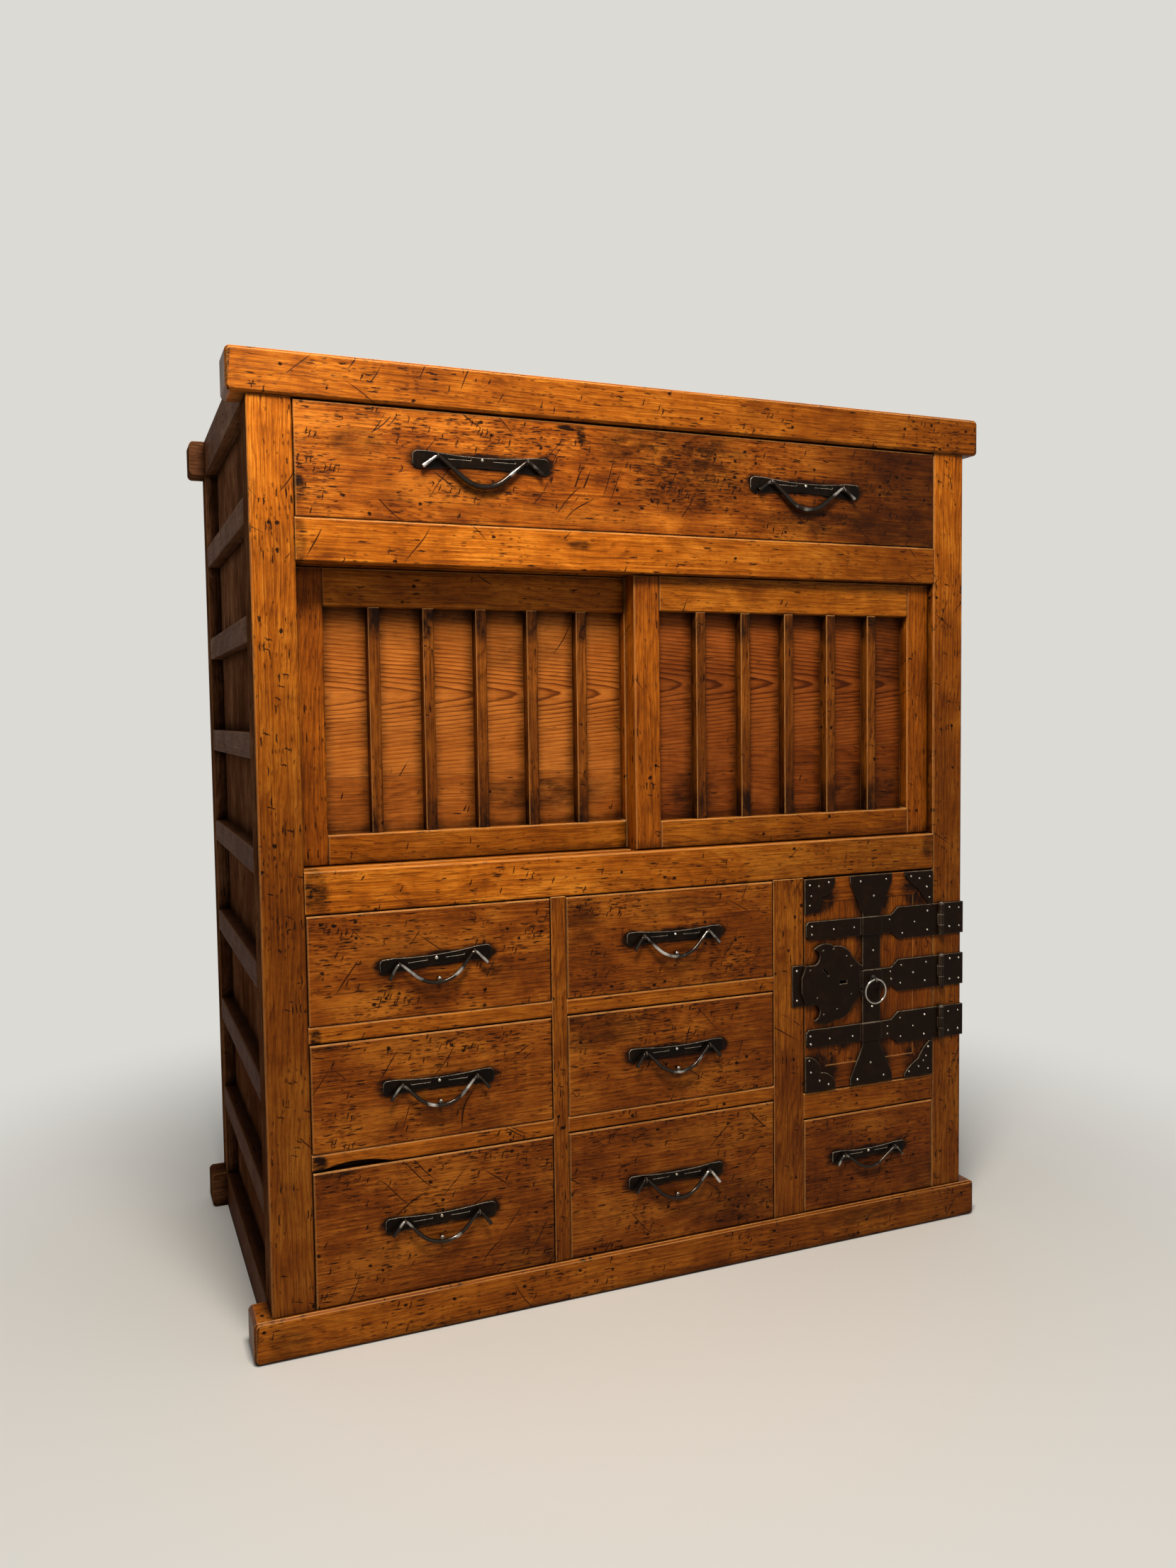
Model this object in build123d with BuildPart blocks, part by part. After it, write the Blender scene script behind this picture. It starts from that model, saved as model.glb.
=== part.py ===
from build123d import *
import os
from math import asin, cos, radians, sin, tan

# A merchant's chest: an outer frame of posts and long rails, a wide drawer over a pair of latticed
# sliding doors, two stacks of drawers below them, and an iron-bound hinged safe door over a small drawer.
# Millimetres. X runs to the viewer's right, Y from the front to the back, Z up.
# The origin is on the floor, in the middle of the case.

os.makedirs("parts", exist_ok=True)

# Case, outside
rail_length = 956.0
case_depth = 500.0
rail_overhang = 20.0
front_rail_depth = 48.0
rear_rail_depth = 42.0
post_width = 46.5
post_depth = 44.0
rear_post_depth = 38.0
post_setback = 5.0

# Heights, from the floor up
base_rail_height = 47.0
low_row_height = 152.5
bay_rail_height = 18.5
row_height = 121.5
middle_rail_height = 46.5
door_opening_height = 328.5
upper_rail_height = 46.0
top_drawer_height = 123.0
top_rail_height = 46.0
small_drawer_height = 121.5
safe_sill_height = 33.5

# Widths between the posts, from the left
drawer_bay_width = 279.5
narrow_stile = 18.5
wide_stile = 43.5

# Frame joinery
post_tenon_length = 28.0
tenon_shoulder = 10.0
cross_rail_depth = 76.0
cross_tenon_length = 20.0
cross_tenon_thickness = 16.0
stile_depth = 22.0
stub_tenon = 7.0
stub_shoulder = 4.5
stile_tenon_length = 15.0
wane_start = 4.0
wane_deepest = 35.0
wane_length = 92.0
wane_height = 6.0
wane_depth = 26.0
eased_edge = 2.5
rail_end_round = 6.0
post_arris = 1.2

# Sides, back, top and inner boards
side_rail_thickness = 32.0
side_tenon_length = 8.0
batten_height = 28.5
batten_count = 7
panel_recess = 16.0
panel_thickness = 8.0
panel_groove = 6.0
front_side_board = 254.0
back_board_thickness = 9.0
back_board_count = 6
top_board_thickness = 12.0
top_board_recess = 3.0
top_board_count = 3
top_rebate = 6.0
board_gap = 0.3
shelf_thickness = 9.0
partition_thickness = 16.0
guide_height = 14.0

# Drawers
drawer_back_gap = 23.0
drawer_front_thickness = 20.0
drawer_front_lap = 8.0
drawer_side_thickness = 11.0
drawer_back_thickness = 10.0
drawer_bottom_thickness = 7.0
drawer_side_drop = 3.0
drawer_side_gap = 1.0
drawer_top_gap = 1.6
drawer_seat = 0.3
drawer_arris = 1.0

# Sliding doors
door_stile = 33.3
door_top_rail = 42.0
door_bottom_rail = 33.5
door_thickness = 25.0
front_track_setback = 11.0
track_pitch = 29.0
door_shoulder_gap = 0.8
slide_gap = 0.3
tongue_thickness = 9.0
tongue_side_gap = 0.5
sill_groove = 5.0
head_groove = 14.0
head_tongue = 8.0
slat_width = 12.5
slat_setback = 1.0
slat_count = 5
door_panel_setback = 16.0
door_panel_thickness = 6.0
door_panel_groove = 5.0
left_lower_board = 62.0
right_lower_board = 85.0
door_stop_gap = 0.5

# Safe door and its ironwork
leaf_thickness = 20.0
leaf_proud = 0.4
leaf_lock_gap = 1.6
leaf_gap = 1.8
leaf_bevel = 1.9
leaf_frame_width = 31.0
iron = 2.0
strap_pitch = 69.5
strap_rise = 1.2
strap_height = 23.0
strap_clip = 4.0
hinge_height = 42.0
hinge_flare = 11.0
hinge_length = 56.0
band_width = 27.0
band_flare = 65.0
band_flare_height = 50.0
band_foot = 9.0
corner_leg = 45.0
corner_lip = 5.0
corner_cusp = 23.0
free_corner_lobe = 5.0
hung_corner_lobe = 1.5
knuckle_radius = 4.0
knuckle_wall = 1.95
knuckle_offset = 10.5
knuckle_gap = 0.4
knuckle_flats = 12
pin_clearance = 0.05
pin_head_radius = 3.4
pin_head_height = 2.2
post_plate_wrap = 24.0

# Lock
lock_iron = 2.5
lock_tab_tip = (-6.7, 10.0)
lock_tab_top = (0.0, 25.5)
lock_bite_start = (13.5, 25.5)
lock_bite_middle = (20.5, 35.0)
lock_horn = (12.0, 46.0)
lock_crown = (28.0, 52.0)
lock_cusp = (42.0, 47.5)
lock_brow = (55.0, 46.0)
lock_shoulder = (66.5, 37.0)
lock_cheek = (74.5, 26.5)
lock_tip = (87.0, 17.5)
lock_nose = (80.5, 11.0)
lock_band_gap = 0.1
keyhole_length = 11.5
keyhole_height = 4.6
keyhole_from_edge = 55.5
shutter_slot_length = 14.0
shutter_slot_width = 2.0
shutter_slot_angle = 52.0
shutter_slot_from_edge = 29.0
shutter_slot_rise = 15.5
strike_width = 17.0
strike_height = 52.5
strike_iron = 1.6
lock_case_length = 56.0
lock_case_height = 40.0
lock_case_depth = 14.0
lock_case_inset = 8.0
bolt_height = 9.0
bolt_thickness = 6.5
bolt_length = 38.0
bolt_clearance = 0.3
bolt_inset = 3.0
bolt_cover = 3.6

# Ring pull
ring_radius = 15.6
ring_rod = 1.4
staple_hole = 1.9
staple_wall = 1.5
staple_thickness = 1.8
staple_shank = 2.6
staple_stand_off = 6.6
ring_from_band_middle = 0.5
rosette_radius = 5.0
rosette_thickness = 1.0

# Bail pulls, eye irons and their plates, shared by all sizes
bail_bend = 3.0
bail_eye_run = 2.3
eye_hole = 2.3
eye_wall = 1.3
eye_thickness = 2.0
eye_shank = 2.8
eye_stand_off = 6.0
rod_flats = 6
bend_step = 16.0
ring_lengths = 24
boss_flats = 8
eye_flats = 8
plate_iron = 1.5
slot_width = 1.6
nail_radius = 1.8
nail_height = 1.1
nail_bevel = 0.7
stud_radius = 2.6
stud_head = 2.0
stud_bevel = 0.9
stud_neck = 1.4
stud_lift = 3.3
stud_gap = 0.3

# Fits and cuts
overrun = 1.0


class BailSize:
    """The sizes of one pull: its plate, the gap between its eyes, its drop and its rod."""

    def __init__(self, plate_length, plate_waist, plate_end, plate_clip, eye_rise, eye_spacing, drop,
                 leg_angle, outer_leg, outer_angle, rod_middle, rod_eye, rod_tip, on_stud):
        self.plate_length = plate_length
        self.plate_waist = plate_waist
        self.plate_end = plate_end
        self.plate_clip = plate_clip
        self.eye_rise = eye_rise
        self.eye_spacing = eye_spacing
        self.drop = drop
        self.leg_angle = leg_angle
        self.outer_leg = outer_leg
        self.outer_angle = outer_angle
        self.rod_middle = rod_middle
        self.rod_eye = rod_eye
        self.rod_tip = rod_tip
        self.on_stud = on_stud


large_bail = BailSize(plate_length=158.0, plate_waist=11.5, plate_end=19.0, plate_clip=6.0, eye_rise=3.0,
                      eye_spacing=103.5, drop=29.7, leg_angle=39.5, outer_leg=19.3, outer_angle=37.0,
                      rod_middle=3.1, rod_eye=1.9, rod_tip=2.7, on_stud=False)
medium_bail = BailSize(plate_length=128.0, plate_waist=10.8, plate_end=16.2, plate_clip=5.0, eye_rise=1.6,
                       eye_spacing=86.3, drop=26.0, leg_angle=46.5, outer_leg=18.5, outer_angle=52.0,
                       rod_middle=2.4, rod_eye=1.7, rod_tip=2.3, on_stud=True)
small_bail = BailSize(plate_length=111.0, plate_waist=9.0, plate_end=14.5, plate_clip=2.0, eye_rise=1.6,
                      eye_spacing=78.0, drop=20.0, leg_angle=37.0, outer_leg=14.5, outer_angle=52.0,
                      rod_middle=2.0, rod_eye=1.6, rod_tip=2.1, on_stud=False)


class Pull:
    """A pull as it was fitted by hand: the middle of its eyes from the middle of its drawer's opening, and
    how many degrees its eyes and its plate are turned out of level."""

    def __init__(self, across, up, turn=0.0, plate_turn=0.0):
        self.across = across
        self.up = up
        self.turn = radians(turn)
        self.plate_turn = radians(plate_turn)


drawer_pulls = {
    "left_drawer_high": Pull(across=2.6, up=3.1, turn=5.0, plate_turn=3.6),
    "left_drawer_middle": Pull(across=3.1, up=4.5),
    "left_drawer_low": Pull(across=2.6, up=4.8, turn=-2.5),
    "middle_drawer_high": Pull(across=1.5, up=5.0),
    "middle_drawer_middle": Pull(across=2.3, up=4.1),
    "middle_drawer_low": Pull(across=0.5, up=4.1, turn=-2.0),
    "small_drawer": Pull(across=-2.5, up=6.2),
}
top_left_pull = Pull(across=-205.4, up=9.7)
top_right_pull = Pull(across=214.3, up=7.0, turn=-1.6, plate_turn=-0.8)

# Levels worked out from the heights
z_low_row = base_rail_height
z_low_rail = z_low_row + low_row_height
z_middle_row = z_low_rail + bay_rail_height
z_high_rail = z_middle_row + row_height
z_high_row = z_high_rail + bay_rail_height
z_middle_rail = z_high_row + row_height
z_sill = z_middle_rail + middle_rail_height
z_upper_rail = z_sill + door_opening_height
z_top_drawer = z_upper_rail + upper_rail_height
z_top_rail = z_top_drawer + top_drawer_height
case_height = z_top_rail + top_rail_height
z_safe_sill = z_low_row + small_drawer_height
z_safe = z_safe_sill + safe_sill_height

# Planes and edges worked out from the widths and depths
y_front = -case_depth / 2
y_back = case_depth / 2
y_face = y_front + post_setback
y_rail_back = y_front + front_rail_depth
y_post_back = y_face + post_depth
y_cross_back = y_face + cross_rail_depth
y_stile_back = y_face + stile_depth
y_rear = y_back - rear_rail_depth
x_post_outer = rail_length / 2 - rail_overhang
x_post_inner = x_post_outer - post_width
x_panel_outer = x_post_outer - panel_recess
x_panel_inner = x_panel_outer - panel_thickness
x_side_rail_inner = x_post_outer - side_rail_thickness
left_bay = (-x_post_inner, -x_post_inner + drawer_bay_width)
middle_bay = (left_bay[1] + narrow_stile, left_bay[1] + narrow_stile + drawer_bay_width)
right_bay = (middle_bay[1] + wide_stile, x_post_inner)
narrow_partition = ((left_bay[1] + middle_bay[0] - partition_thickness) / 2,
                    (left_bay[1] + middle_bay[0] + partition_thickness) / 2)
wide_partition = ((middle_bay[1] + right_bay[0] - partition_thickness) / 2,
                  (middle_bay[1] + right_bay[0] + partition_thickness) / 2)
panel_x = (x_panel_inner, x_panel_outer)


def mirrored(pair, side):
    """A span on the right, or its mirror image on the left when side is -1."""
    return (pair[0], pair[1]) if side > 0 else (-pair[1], -pair[0])


def inset(pair, amount):
    """A span drawn in by the same amount at both ends."""
    return (pair[0] + amount, pair[1] - amount)


def block(x, y, z, mode=Mode.ADD):
    """A square-edged block in the part being built, between its spans in X, Y and Z."""
    spans = (x, y, z)
    with Locations(tuple((low + high) / 2 for low, high in spans)):
        Box(*(high - low for low, high in spans), mode=mode)


def board(x, y, z):
    """A plain sawn board between its spans in X, Y and Z."""
    with BuildPart() as sawn:
        block(x, y, z)
    return sawn.part


def store(name, *pieces):
    """Write one sub-part, whose separate pieces stay separate solids."""
    solids = [solid for piece in pieces for solid in piece.solids()]
    item = solids[0] if len(solids) == 1 else Compound(solids)
    item.label = name
    export_step(item, f"parts/{name}.step")


# Tenons: each is cut on one piece and sunk into another from the same spans
def post_tenon(side, end):
    """The tenon at one end of a front post: end is 1 at the top and -1 at the foot."""
    x = mirrored(inset((x_post_inner, x_post_outer), tenon_shoulder), side)
    z = (z_top_rail, z_top_rail + post_tenon_length) if end > 0 else (
        base_rail_height - post_tenon_length, base_rail_height)
    return x, inset((y_face, y_post_back), tenon_shoulder), z


def rear_post_tenon(side, end):
    """The tenon at one end of a rear post."""
    x, _, z = post_tenon(side, end)
    return x, inset((y_rear, y_rear + rear_post_depth), tenon_shoulder), z


def cross_tenon(side, z_rail, height):
    """The tenon of a deep cross rail in a front post."""
    y_low = y_face + tenon_shoulder
    return (mirrored((x_post_inner, x_post_inner + cross_tenon_length), side),
            (y_low, y_low + cross_tenon_thickness), inset((z_rail, z_rail + height), tenon_shoulder))


def stub(x_edge, side, z_rail, height):
    """The stub tenon of a bay rail, which runs from its edge towards side."""
    x = (x_edge, x_edge + stub_tenon) if side > 0 else (x_edge - stub_tenon, x_edge)
    return x, inset((y_face, y_stile_back), stub_shoulder), inset((z_rail, z_rail + height), stub_shoulder)


def stile_tenon(stile, end):
    """The tenon at the top or foot of a divider stile."""
    z = (z_middle_rail, z_middle_rail + stile_tenon_length) if end > 0 else (
        base_rail_height - stile_tenon_length, base_rail_height)
    return inset(stile, stub_shoulder), inset((y_face, y_stile_back), stub_shoulder), z


def side_tenon(side, end, z_rail, height):
    """The tenon of a side rail in the front rail (end -1) or the rear rail (end 1)."""
    y = (y_rear, y_rear + side_tenon_length) if end > 0 else (
        y_rail_back - side_tenon_length, y_rail_back)
    return (mirrored(inset((x_side_rail_inner, x_post_outer), tenon_shoulder), side), y,
            inset((z_rail, z_rail + height), tenon_shoulder))


stiles = ((left_bay[1], middle_bay[0]), (middle_bay[1], right_bay[0]))
bay_rails = [(bay, z, bay_rail_height) for bay in (left_bay, middle_bay) for z in (z_low_rail, z_high_rail)]
bay_rails.append((right_bay, z_safe_sill, safe_sill_height))
long_rails = ((0.0, base_rail_height), (z_top_rail, top_rail_height))
cross_rails = ((z_middle_rail, middle_rail_height), (z_upper_rail, upper_rail_height))


# Long rails, which run past the posts at both ends
def long_rail(y, z_rail, height, sockets, eased):
    """A long rail with rounded ends, its front arris eased or not, and the mortises of what stands in it."""
    with BuildPart() as rail:
        block((-rail_length / 2, rail_length / 2), y, (z_rail, z_rail + height))
        fillet(rail.edges().filter_by(Axis.Y), radius=rail_end_round)
        if eased:
            chamfer(rail.faces().sort_by(Axis.Y)[0].edges(), length=eased_edge)
        for socket in sockets:
            block(*socket, mode=Mode.SUBTRACT)
    return rail.part


top_boards_z = (case_height - top_board_recess - top_board_thickness, case_height - top_board_recess)
top_rebate_z = (top_boards_z[0], case_height + overrun)
top_board_x = (-x_side_rail_inner, x_side_rail_inner)
front_y = (y_front, y_rail_back)
rear_y = (y_rear, y_back)
both_sides = (-1, 1)

base_sockets = [post_tenon(side, -1) for side in both_sides]
base_sockets += [stile_tenon(stile, -1) for stile in stiles]
base_sockets += [side_tenon(side, -1, *long_rails[0]) for side in both_sides]
store("base_front_rail", long_rail(front_y, *long_rails[0], base_sockets, True))

top_sockets = [post_tenon(side, 1) for side in both_sides]
top_sockets += [side_tenon(side, -1, *long_rails[1]) for side in both_sides]
top_sockets.append((top_board_x, (y_rail_back - top_rebate, y_rail_back + overrun), top_rebate_z))
store("top_front_rail", long_rail(front_y, *long_rails[1], top_sockets, True))

rear_base_sockets = [rear_post_tenon(side, -1) for side in both_sides]
rear_base_sockets += [side_tenon(side, 1, *long_rails[0]) for side in both_sides]
rear_top_sockets = [rear_post_tenon(side, 1) for side in both_sides]
rear_top_sockets += [side_tenon(side, 1, *long_rails[1]) for side in both_sides]
rear_top_sockets.append((top_board_x, (y_rear - overrun, y_rear + top_rebate), top_rebate_z))
store("rear_rails", long_rail(rear_y, *long_rails[0], rear_base_sockets, False),
      long_rail(rear_y, *long_rails[1], rear_top_sockets, False))


# Corner posts
def front_post(side):
    """A front post: tenoned top and foot, mortised for the cross rails, grooved for the side panel."""
    x = mirrored((x_post_inner, x_post_outer), side)
    with BuildPart() as post:
        block(x, (y_face, y_post_back), (base_rail_height, z_top_rail))
        chamfer(post.faces().sort_by(Axis.Y)[0].edges().filter_by(Axis.Z), length=post_arris)
        for end in both_sides:
            block(*post_tenon(side, end))
        for rail in cross_rails:
            block(*cross_tenon(side, *rail), mode=Mode.SUBTRACT)
        for bay, z_rail, height in bay_rails:
            edge = bay[1] if side > 0 else bay[0]
            if abs(edge) == x_post_inner:
                block(*stub(edge, side, z_rail, height), mode=Mode.SUBTRACT)
        block(mirrored(panel_x, side), (y_post_back - panel_groove, y_post_back + overrun),
              (base_rail_height, z_top_rail), mode=Mode.SUBTRACT)
    return post.part


def rear_post(side):
    """A rear post, tenoned at both ends and grooved for the side panel."""
    with BuildPart() as post:
        block(mirrored((x_post_inner, x_post_outer), side), (y_rear, y_rear + rear_post_depth),
              (base_rail_height, z_top_rail))
        chamfer(post.faces().sort_by(Axis.Y)[-1].edges().filter_by(Axis.Z), length=post_arris)
        for end in both_sides:
            block(*rear_post_tenon(side, end))
        block(mirrored(panel_x, side), (y_rear - overrun, y_rear + panel_groove),
              (base_rail_height, z_top_rail), mode=Mode.SUBTRACT)
    return post.part


store("front_post_left", front_post(-1))
store("front_post_right", front_post(1))
store("rear_posts", rear_post(-1), rear_post(1))

# Deep cross rails above and below the sliding doors, each with two door grooves
track_y = [y_face + front_track_setback + door_thickness / 2,
           y_face + front_track_setback + door_thickness / 2 + track_pitch]


def groove_y(track):
    """The span in Y of one door groove, with the tongue's side clearance."""
    half = tongue_thickness / 2 + tongue_side_gap
    return (track - half, track + half)


with BuildPart() as middle_cross_rail:
    block((-x_post_inner, x_post_inner), (y_face, y_cross_back), (z_middle_rail, z_sill))
    chamfer(middle_cross_rail.faces().sort_by(Axis.Y)[0].edges().filter_by(Axis.X), length=post_arris)
    for side in both_sides:
        block(*cross_tenon(side, *cross_rails[0]))
    for track in track_y:
        block((-x_post_inner, x_post_inner), groove_y(track), (z_sill - sill_groove, z_sill + overrun),
              mode=Mode.SUBTRACT)
    for stile in stiles:
        block(*stile_tenon(stile, 1), mode=Mode.SUBTRACT)
store("middle_cross_rail", middle_cross_rail.part)

with BuildPart() as upper_cross_rail:
    block((-x_post_inner, x_post_inner), (y_face, y_cross_back), (z_upper_rail, z_top_drawer))
    chamfer(upper_cross_rail.faces().sort_by(Axis.Y)[0].edges().filter_by(Axis.X), length=post_arris)
    for side in both_sides:
        block(*cross_tenon(side, *cross_rails[1]))
    for track in track_y:
        block((-x_post_inner, x_post_inner), groove_y(track),
              (z_upper_rail - overrun, z_upper_rail + head_groove), mode=Mode.SUBTRACT)
store("upper_cross_rail", upper_cross_rail.part)


# Divider stiles and the thin rails between the drawers
def divider_stile(stile):
    """An upright between two bays, tenoned into the rails and mortised for the thin rails."""
    with BuildPart() as upright:
        block(stile, (y_face, y_stile_back), (base_rail_height, z_middle_rail))
        for end in both_sides:
            block(*stile_tenon(stile, end))
        for bay, z_rail, height in bay_rails:
            if bay[1] == stile[0]:
                block(*stub(bay[1], 1, z_rail, height), mode=Mode.SUBTRACT)
            if bay[0] == stile[1]:
                block(*stub(bay[0], -1, z_rail, height), mode=Mode.SUBTRACT)
    return upright.part


def bay_rail(bay, z_rail, height, waned):
    """A thin rail across one bay, with a stub tenon at each end. On one, the front of the underside has a
    long shallow hollow near the left end, where the wood ran out under the bark."""
    with BuildPart() as rail:
        block(bay, (y_face, y_post_back), (z_rail, z_rail + height))
        chamfer(rail.faces().sort_by(Axis.Y)[0].edges().filter_by(Axis.X), length=post_arris)
        block(*stub(bay[0], -1, z_rail, height))
        block(*stub(bay[1], 1, z_rail, height))
        if waned:
            with BuildSketch(Plane(origin=(bay[0], y_face, z_rail), x_dir=(1, 0, 0), z_dir=(0, -1, 0))):
                with BuildLine():
                    Spline((wane_start, -overrun), (wane_deepest, wane_height), (wane_length, -overrun))
                    Line((wane_length, -overrun), (wane_start, -overrun))
                make_face()
            extrude(amount=-wane_depth, mode=Mode.SUBTRACT)
    return rail.part


store("divider_stiles", *(divider_stile(stile) for stile in stiles))
store("bay_rails", *(bay_rail(*rail, waned=rail[:2] == (left_bay, z_low_rail)) for rail in bay_rails))


# Sides: a rail at the top and the foot, thin panels, and battens over the panels
def side_rail(side, z_rail, height):
    """A side rail between the front and rear long rails."""
    with BuildPart() as rail:
        block(mirrored((x_side_rail_inner, x_post_outer), side), (y_rail_back, y_rear),
              (z_rail, z_rail + height))
        for end in both_sides:
            block(*side_tenon(side, end, z_rail, height))
    return rail.part


store("side_rails", *(side_rail(side, *rail) for side in both_sides for rail in long_rails))

panel_y = (y_post_back - panel_groove, y_rear + panel_groove)
panel_joint = panel_y[0] + front_side_board
panel_z = (base_rail_height, z_top_rail)
store("side_panels", *(board(mirrored(panel_x, side), y, panel_z) for side in both_sides
                       for y in ((panel_y[0], panel_joint), (panel_joint + board_gap, panel_y[1]))))

batten_space = (z_top_rail - base_rail_height - batten_count * batten_height) / (batten_count + 1)
batten_levels = [base_rail_height + batten_space + row * (batten_height + batten_space)
                 for row in range(batten_count)]


def side_batten(side, level):
    """A batten across the outside of a side panel, flush with the posts, its outer edges eased."""
    with BuildPart() as batten:
        block(mirrored((x_panel_outer, x_post_outer), side), (y_post_back, y_rear),
              (level, level + batten_height))
        outer = batten.faces().sort_by(Axis.X)[-1 if side > 0 else 0]
        chamfer(outer.edges().filter_by(Axis.Y), length=post_arris)
    return batten.part


store("side_battens", *(side_batten(side, level) for side in both_sides for level in batten_levels))


# Back, top and inner boards
def split(span, count, gap):
    """Equal boards across a span, with a joint gap between neighbours."""
    width = (span[1] - span[0] - gap * (count - 1)) / count
    return [(span[0] + row * (width + gap), span[0] + row * (width + gap) + width) for row in range(count)]


inner_x = (-x_post_inner, x_post_inner)
store("back_boards", *(board(inner_x, (y_rear, y_rear + back_board_thickness), z)
                       for z in split((base_rail_height, z_top_rail), back_board_count, board_gap)))
top_board_span = (y_rail_back - top_rebate, y_rear + top_rebate)
store("top_boards", *(board(top_board_x, y, top_boards_z)
                      for y in split(top_board_span, top_board_count, board_gap)))

shelf_x = (-x_panel_inner, x_panel_inner)
store("shelf_boards",
      board(top_board_x, (y_rail_back, y_rear), (base_rail_height - shelf_thickness, base_rail_height)),
      board(shelf_x, (y_cross_back, y_rear), (z_sill - shelf_thickness, z_sill)),
      board(shelf_x, (y_cross_back, y_rear), (z_top_drawer - shelf_thickness, z_top_drawer)))


def bay_partition(x):
    """A partition behind a stile, notched at the top to pass behind the middle cross rail."""
    with BuildPart() as partition:
        block(x, (y_stile_back, y_rear), (base_rail_height, z_sill - shelf_thickness))
        block(x, (y_stile_back, y_cross_back), (z_middle_rail, z_sill), mode=Mode.SUBTRACT)
    return partition.part


store("bay_partitions", bay_partition(narrow_partition), bay_partition(wide_partition))

# Dust boards carry the drawers above the bottom row, and the safe's floor is one of them
bay_walls = {left_bay: (-x_panel_inner, narrow_partition[0]),
             middle_bay: (narrow_partition[1], wide_partition[0]),
             right_bay: (wide_partition[1], x_panel_inner)}
store("dust_boards", *(board(bay_walls[bay], (y_post_back, y_rear),
                             (z_rail + height - shelf_thickness, z_rail + height))
                       for bay, z_rail, height in bay_rails))

# Drawer places: bay, level of the floor it runs on, and height of its opening
drawers = {
    "left_drawer_high": (left_bay, z_high_row, row_height, medium_bail),
    "left_drawer_middle": (left_bay, z_middle_row, row_height, medium_bail),
    "left_drawer_low": (left_bay, z_low_row, low_row_height, medium_bail),
    "middle_drawer_high": (middle_bay, z_high_row, row_height, medium_bail),
    "middle_drawer_middle": (middle_bay, z_middle_row, row_height, medium_bail),
    "middle_drawer_low": (middle_bay, z_low_row, low_row_height, medium_bail),
    "small_drawer": (right_bay, z_low_row, small_drawer_height, small_bail),
    "top_drawer": (inner_x, z_top_drawer, top_drawer_height, large_bail),
}
bay_walls[inner_x] = shelf_x


def drawer_guides():
    """Strips that fill the space between a drawer's bay and the wall beside it."""
    strips = []
    for bay, floor, _, _ in drawers.values():
        walls = bay_walls[bay]
        y_start = y_cross_back if bay == inner_x else y_post_back
        for x in ((walls[0], bay[0]), (bay[1], walls[1])):
            if x[1] - x[0] > post_arris + drawer_side_gap:
                strips.append(board(x, (y_start, y_rear), (floor, floor + guide_height)))
    return strips


store("drawer_guides", *drawer_guides())


# Drawers: a lapped front, sides, a back between the sides and a bottom nailed up from below
def drawer_box(bay, floor, opening):
    """The five boards of one drawer, closed in its opening."""
    x = inset(bay, drawer_side_gap)
    z = (floor + drawer_seat, floor + opening - drawer_top_gap)
    y_lap = y_face + drawer_front_thickness - drawer_front_lap
    y_end = y_rear - drawer_back_gap
    z_floor = z[0] + drawer_bottom_thickness
    inside = inset(x, drawer_side_thickness)
    with BuildPart() as front:
        block(x, (y_face, y_lap), z)
        chamfer(front.faces().sort_by(Axis.Y)[0].edges(), length=drawer_arris)
        block(inside, (y_lap, y_lap + drawer_front_lap), (z_floor, z[1]))
    z_side = (z_floor, z[1] - drawer_side_drop)
    left = board((x[0], inside[0]), (y_lap, y_end), z_side)
    right = board((inside[1], x[1]), (y_lap, y_end), z_side)
    back = board(inside, (y_end - drawer_back_thickness, y_end), z_side)
    bottom = board(x, (y_lap, y_end), (z[0], z_floor))
    return front.part, left, right, back, bottom


for name, (bay, floor, opening, _) in drawers.items():
    store(name, *drawer_box(bay, floor, opening))


# Bail pulls
def stud_stand_off(size):
    """How far the stud behind the bail's middle stands out from the drawer."""
    return eye_stand_off + size.rod_middle / 2


def bail_lean(size):
    """The bail's lean from plumb, in radians: outwards where it rests on a stud, none where it hangs free."""
    if not size.on_stud:
        return 0.0
    return asin((stud_stand_off(size) + stud_gap + size.rod_middle - eye_stand_off) / size.drop)


def pull_plane(centre, turn):
    """The drawer's front as a drawing plane, its origin at the middle of the eyes, turned out of level."""
    x_pull, z_pull = centre
    return Plane(origin=(x_pull, y_face, z_pull), x_dir=(cos(turn), 0, sin(turn)), z_dir=(0, -1, 0))


def plate_outline(size):
    """The band-shaped plate behind a bail: a narrow waist and wide clipped ends, below the eyes' line."""
    half = size.plate_length / 2
    shoulder = half - size.plate_end
    clipped = half - size.plate_clip
    middle = -size.eye_rise
    top, foot = middle + size.plate_end / 2, middle - size.plate_end / 2
    waist_top, waist_foot = middle + size.plate_waist / 2, middle - size.plate_waist / 2
    with BuildLine() as outline:
        ThreePointArc((-shoulder, top), (0, waist_top), (shoulder, top))
        Polyline((shoulder, top), (clipped, top), (half, top - size.plate_clip),
                 (half, foot + size.plate_clip), (clipped, foot), (shoulder, foot))
        ThreePointArc((shoulder, foot), (0, waist_foot), (-shoulder, foot))
        Polyline((-shoulder, foot), (-clipped, foot), (-half, foot + size.plate_clip),
                 (-half, top - size.plate_clip), (-clipped, top), (-shoulder, top))
    return outline.line


def bossed(face, x, z, radius, height, bevel):
    """A hammered nail head or stud on a face plane, eight-sided and bevelled round its outer edge."""
    with BuildPart() as boss:
        with BuildSketch(face):
            with Locations((x, z)):
                RegularPolygon(radius, boss_flats)
        extrude(amount=height)
        chamfer(boss.faces().sort_by(Axis.Y)[0].edges(), length=bevel)
    return boss.part


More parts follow.
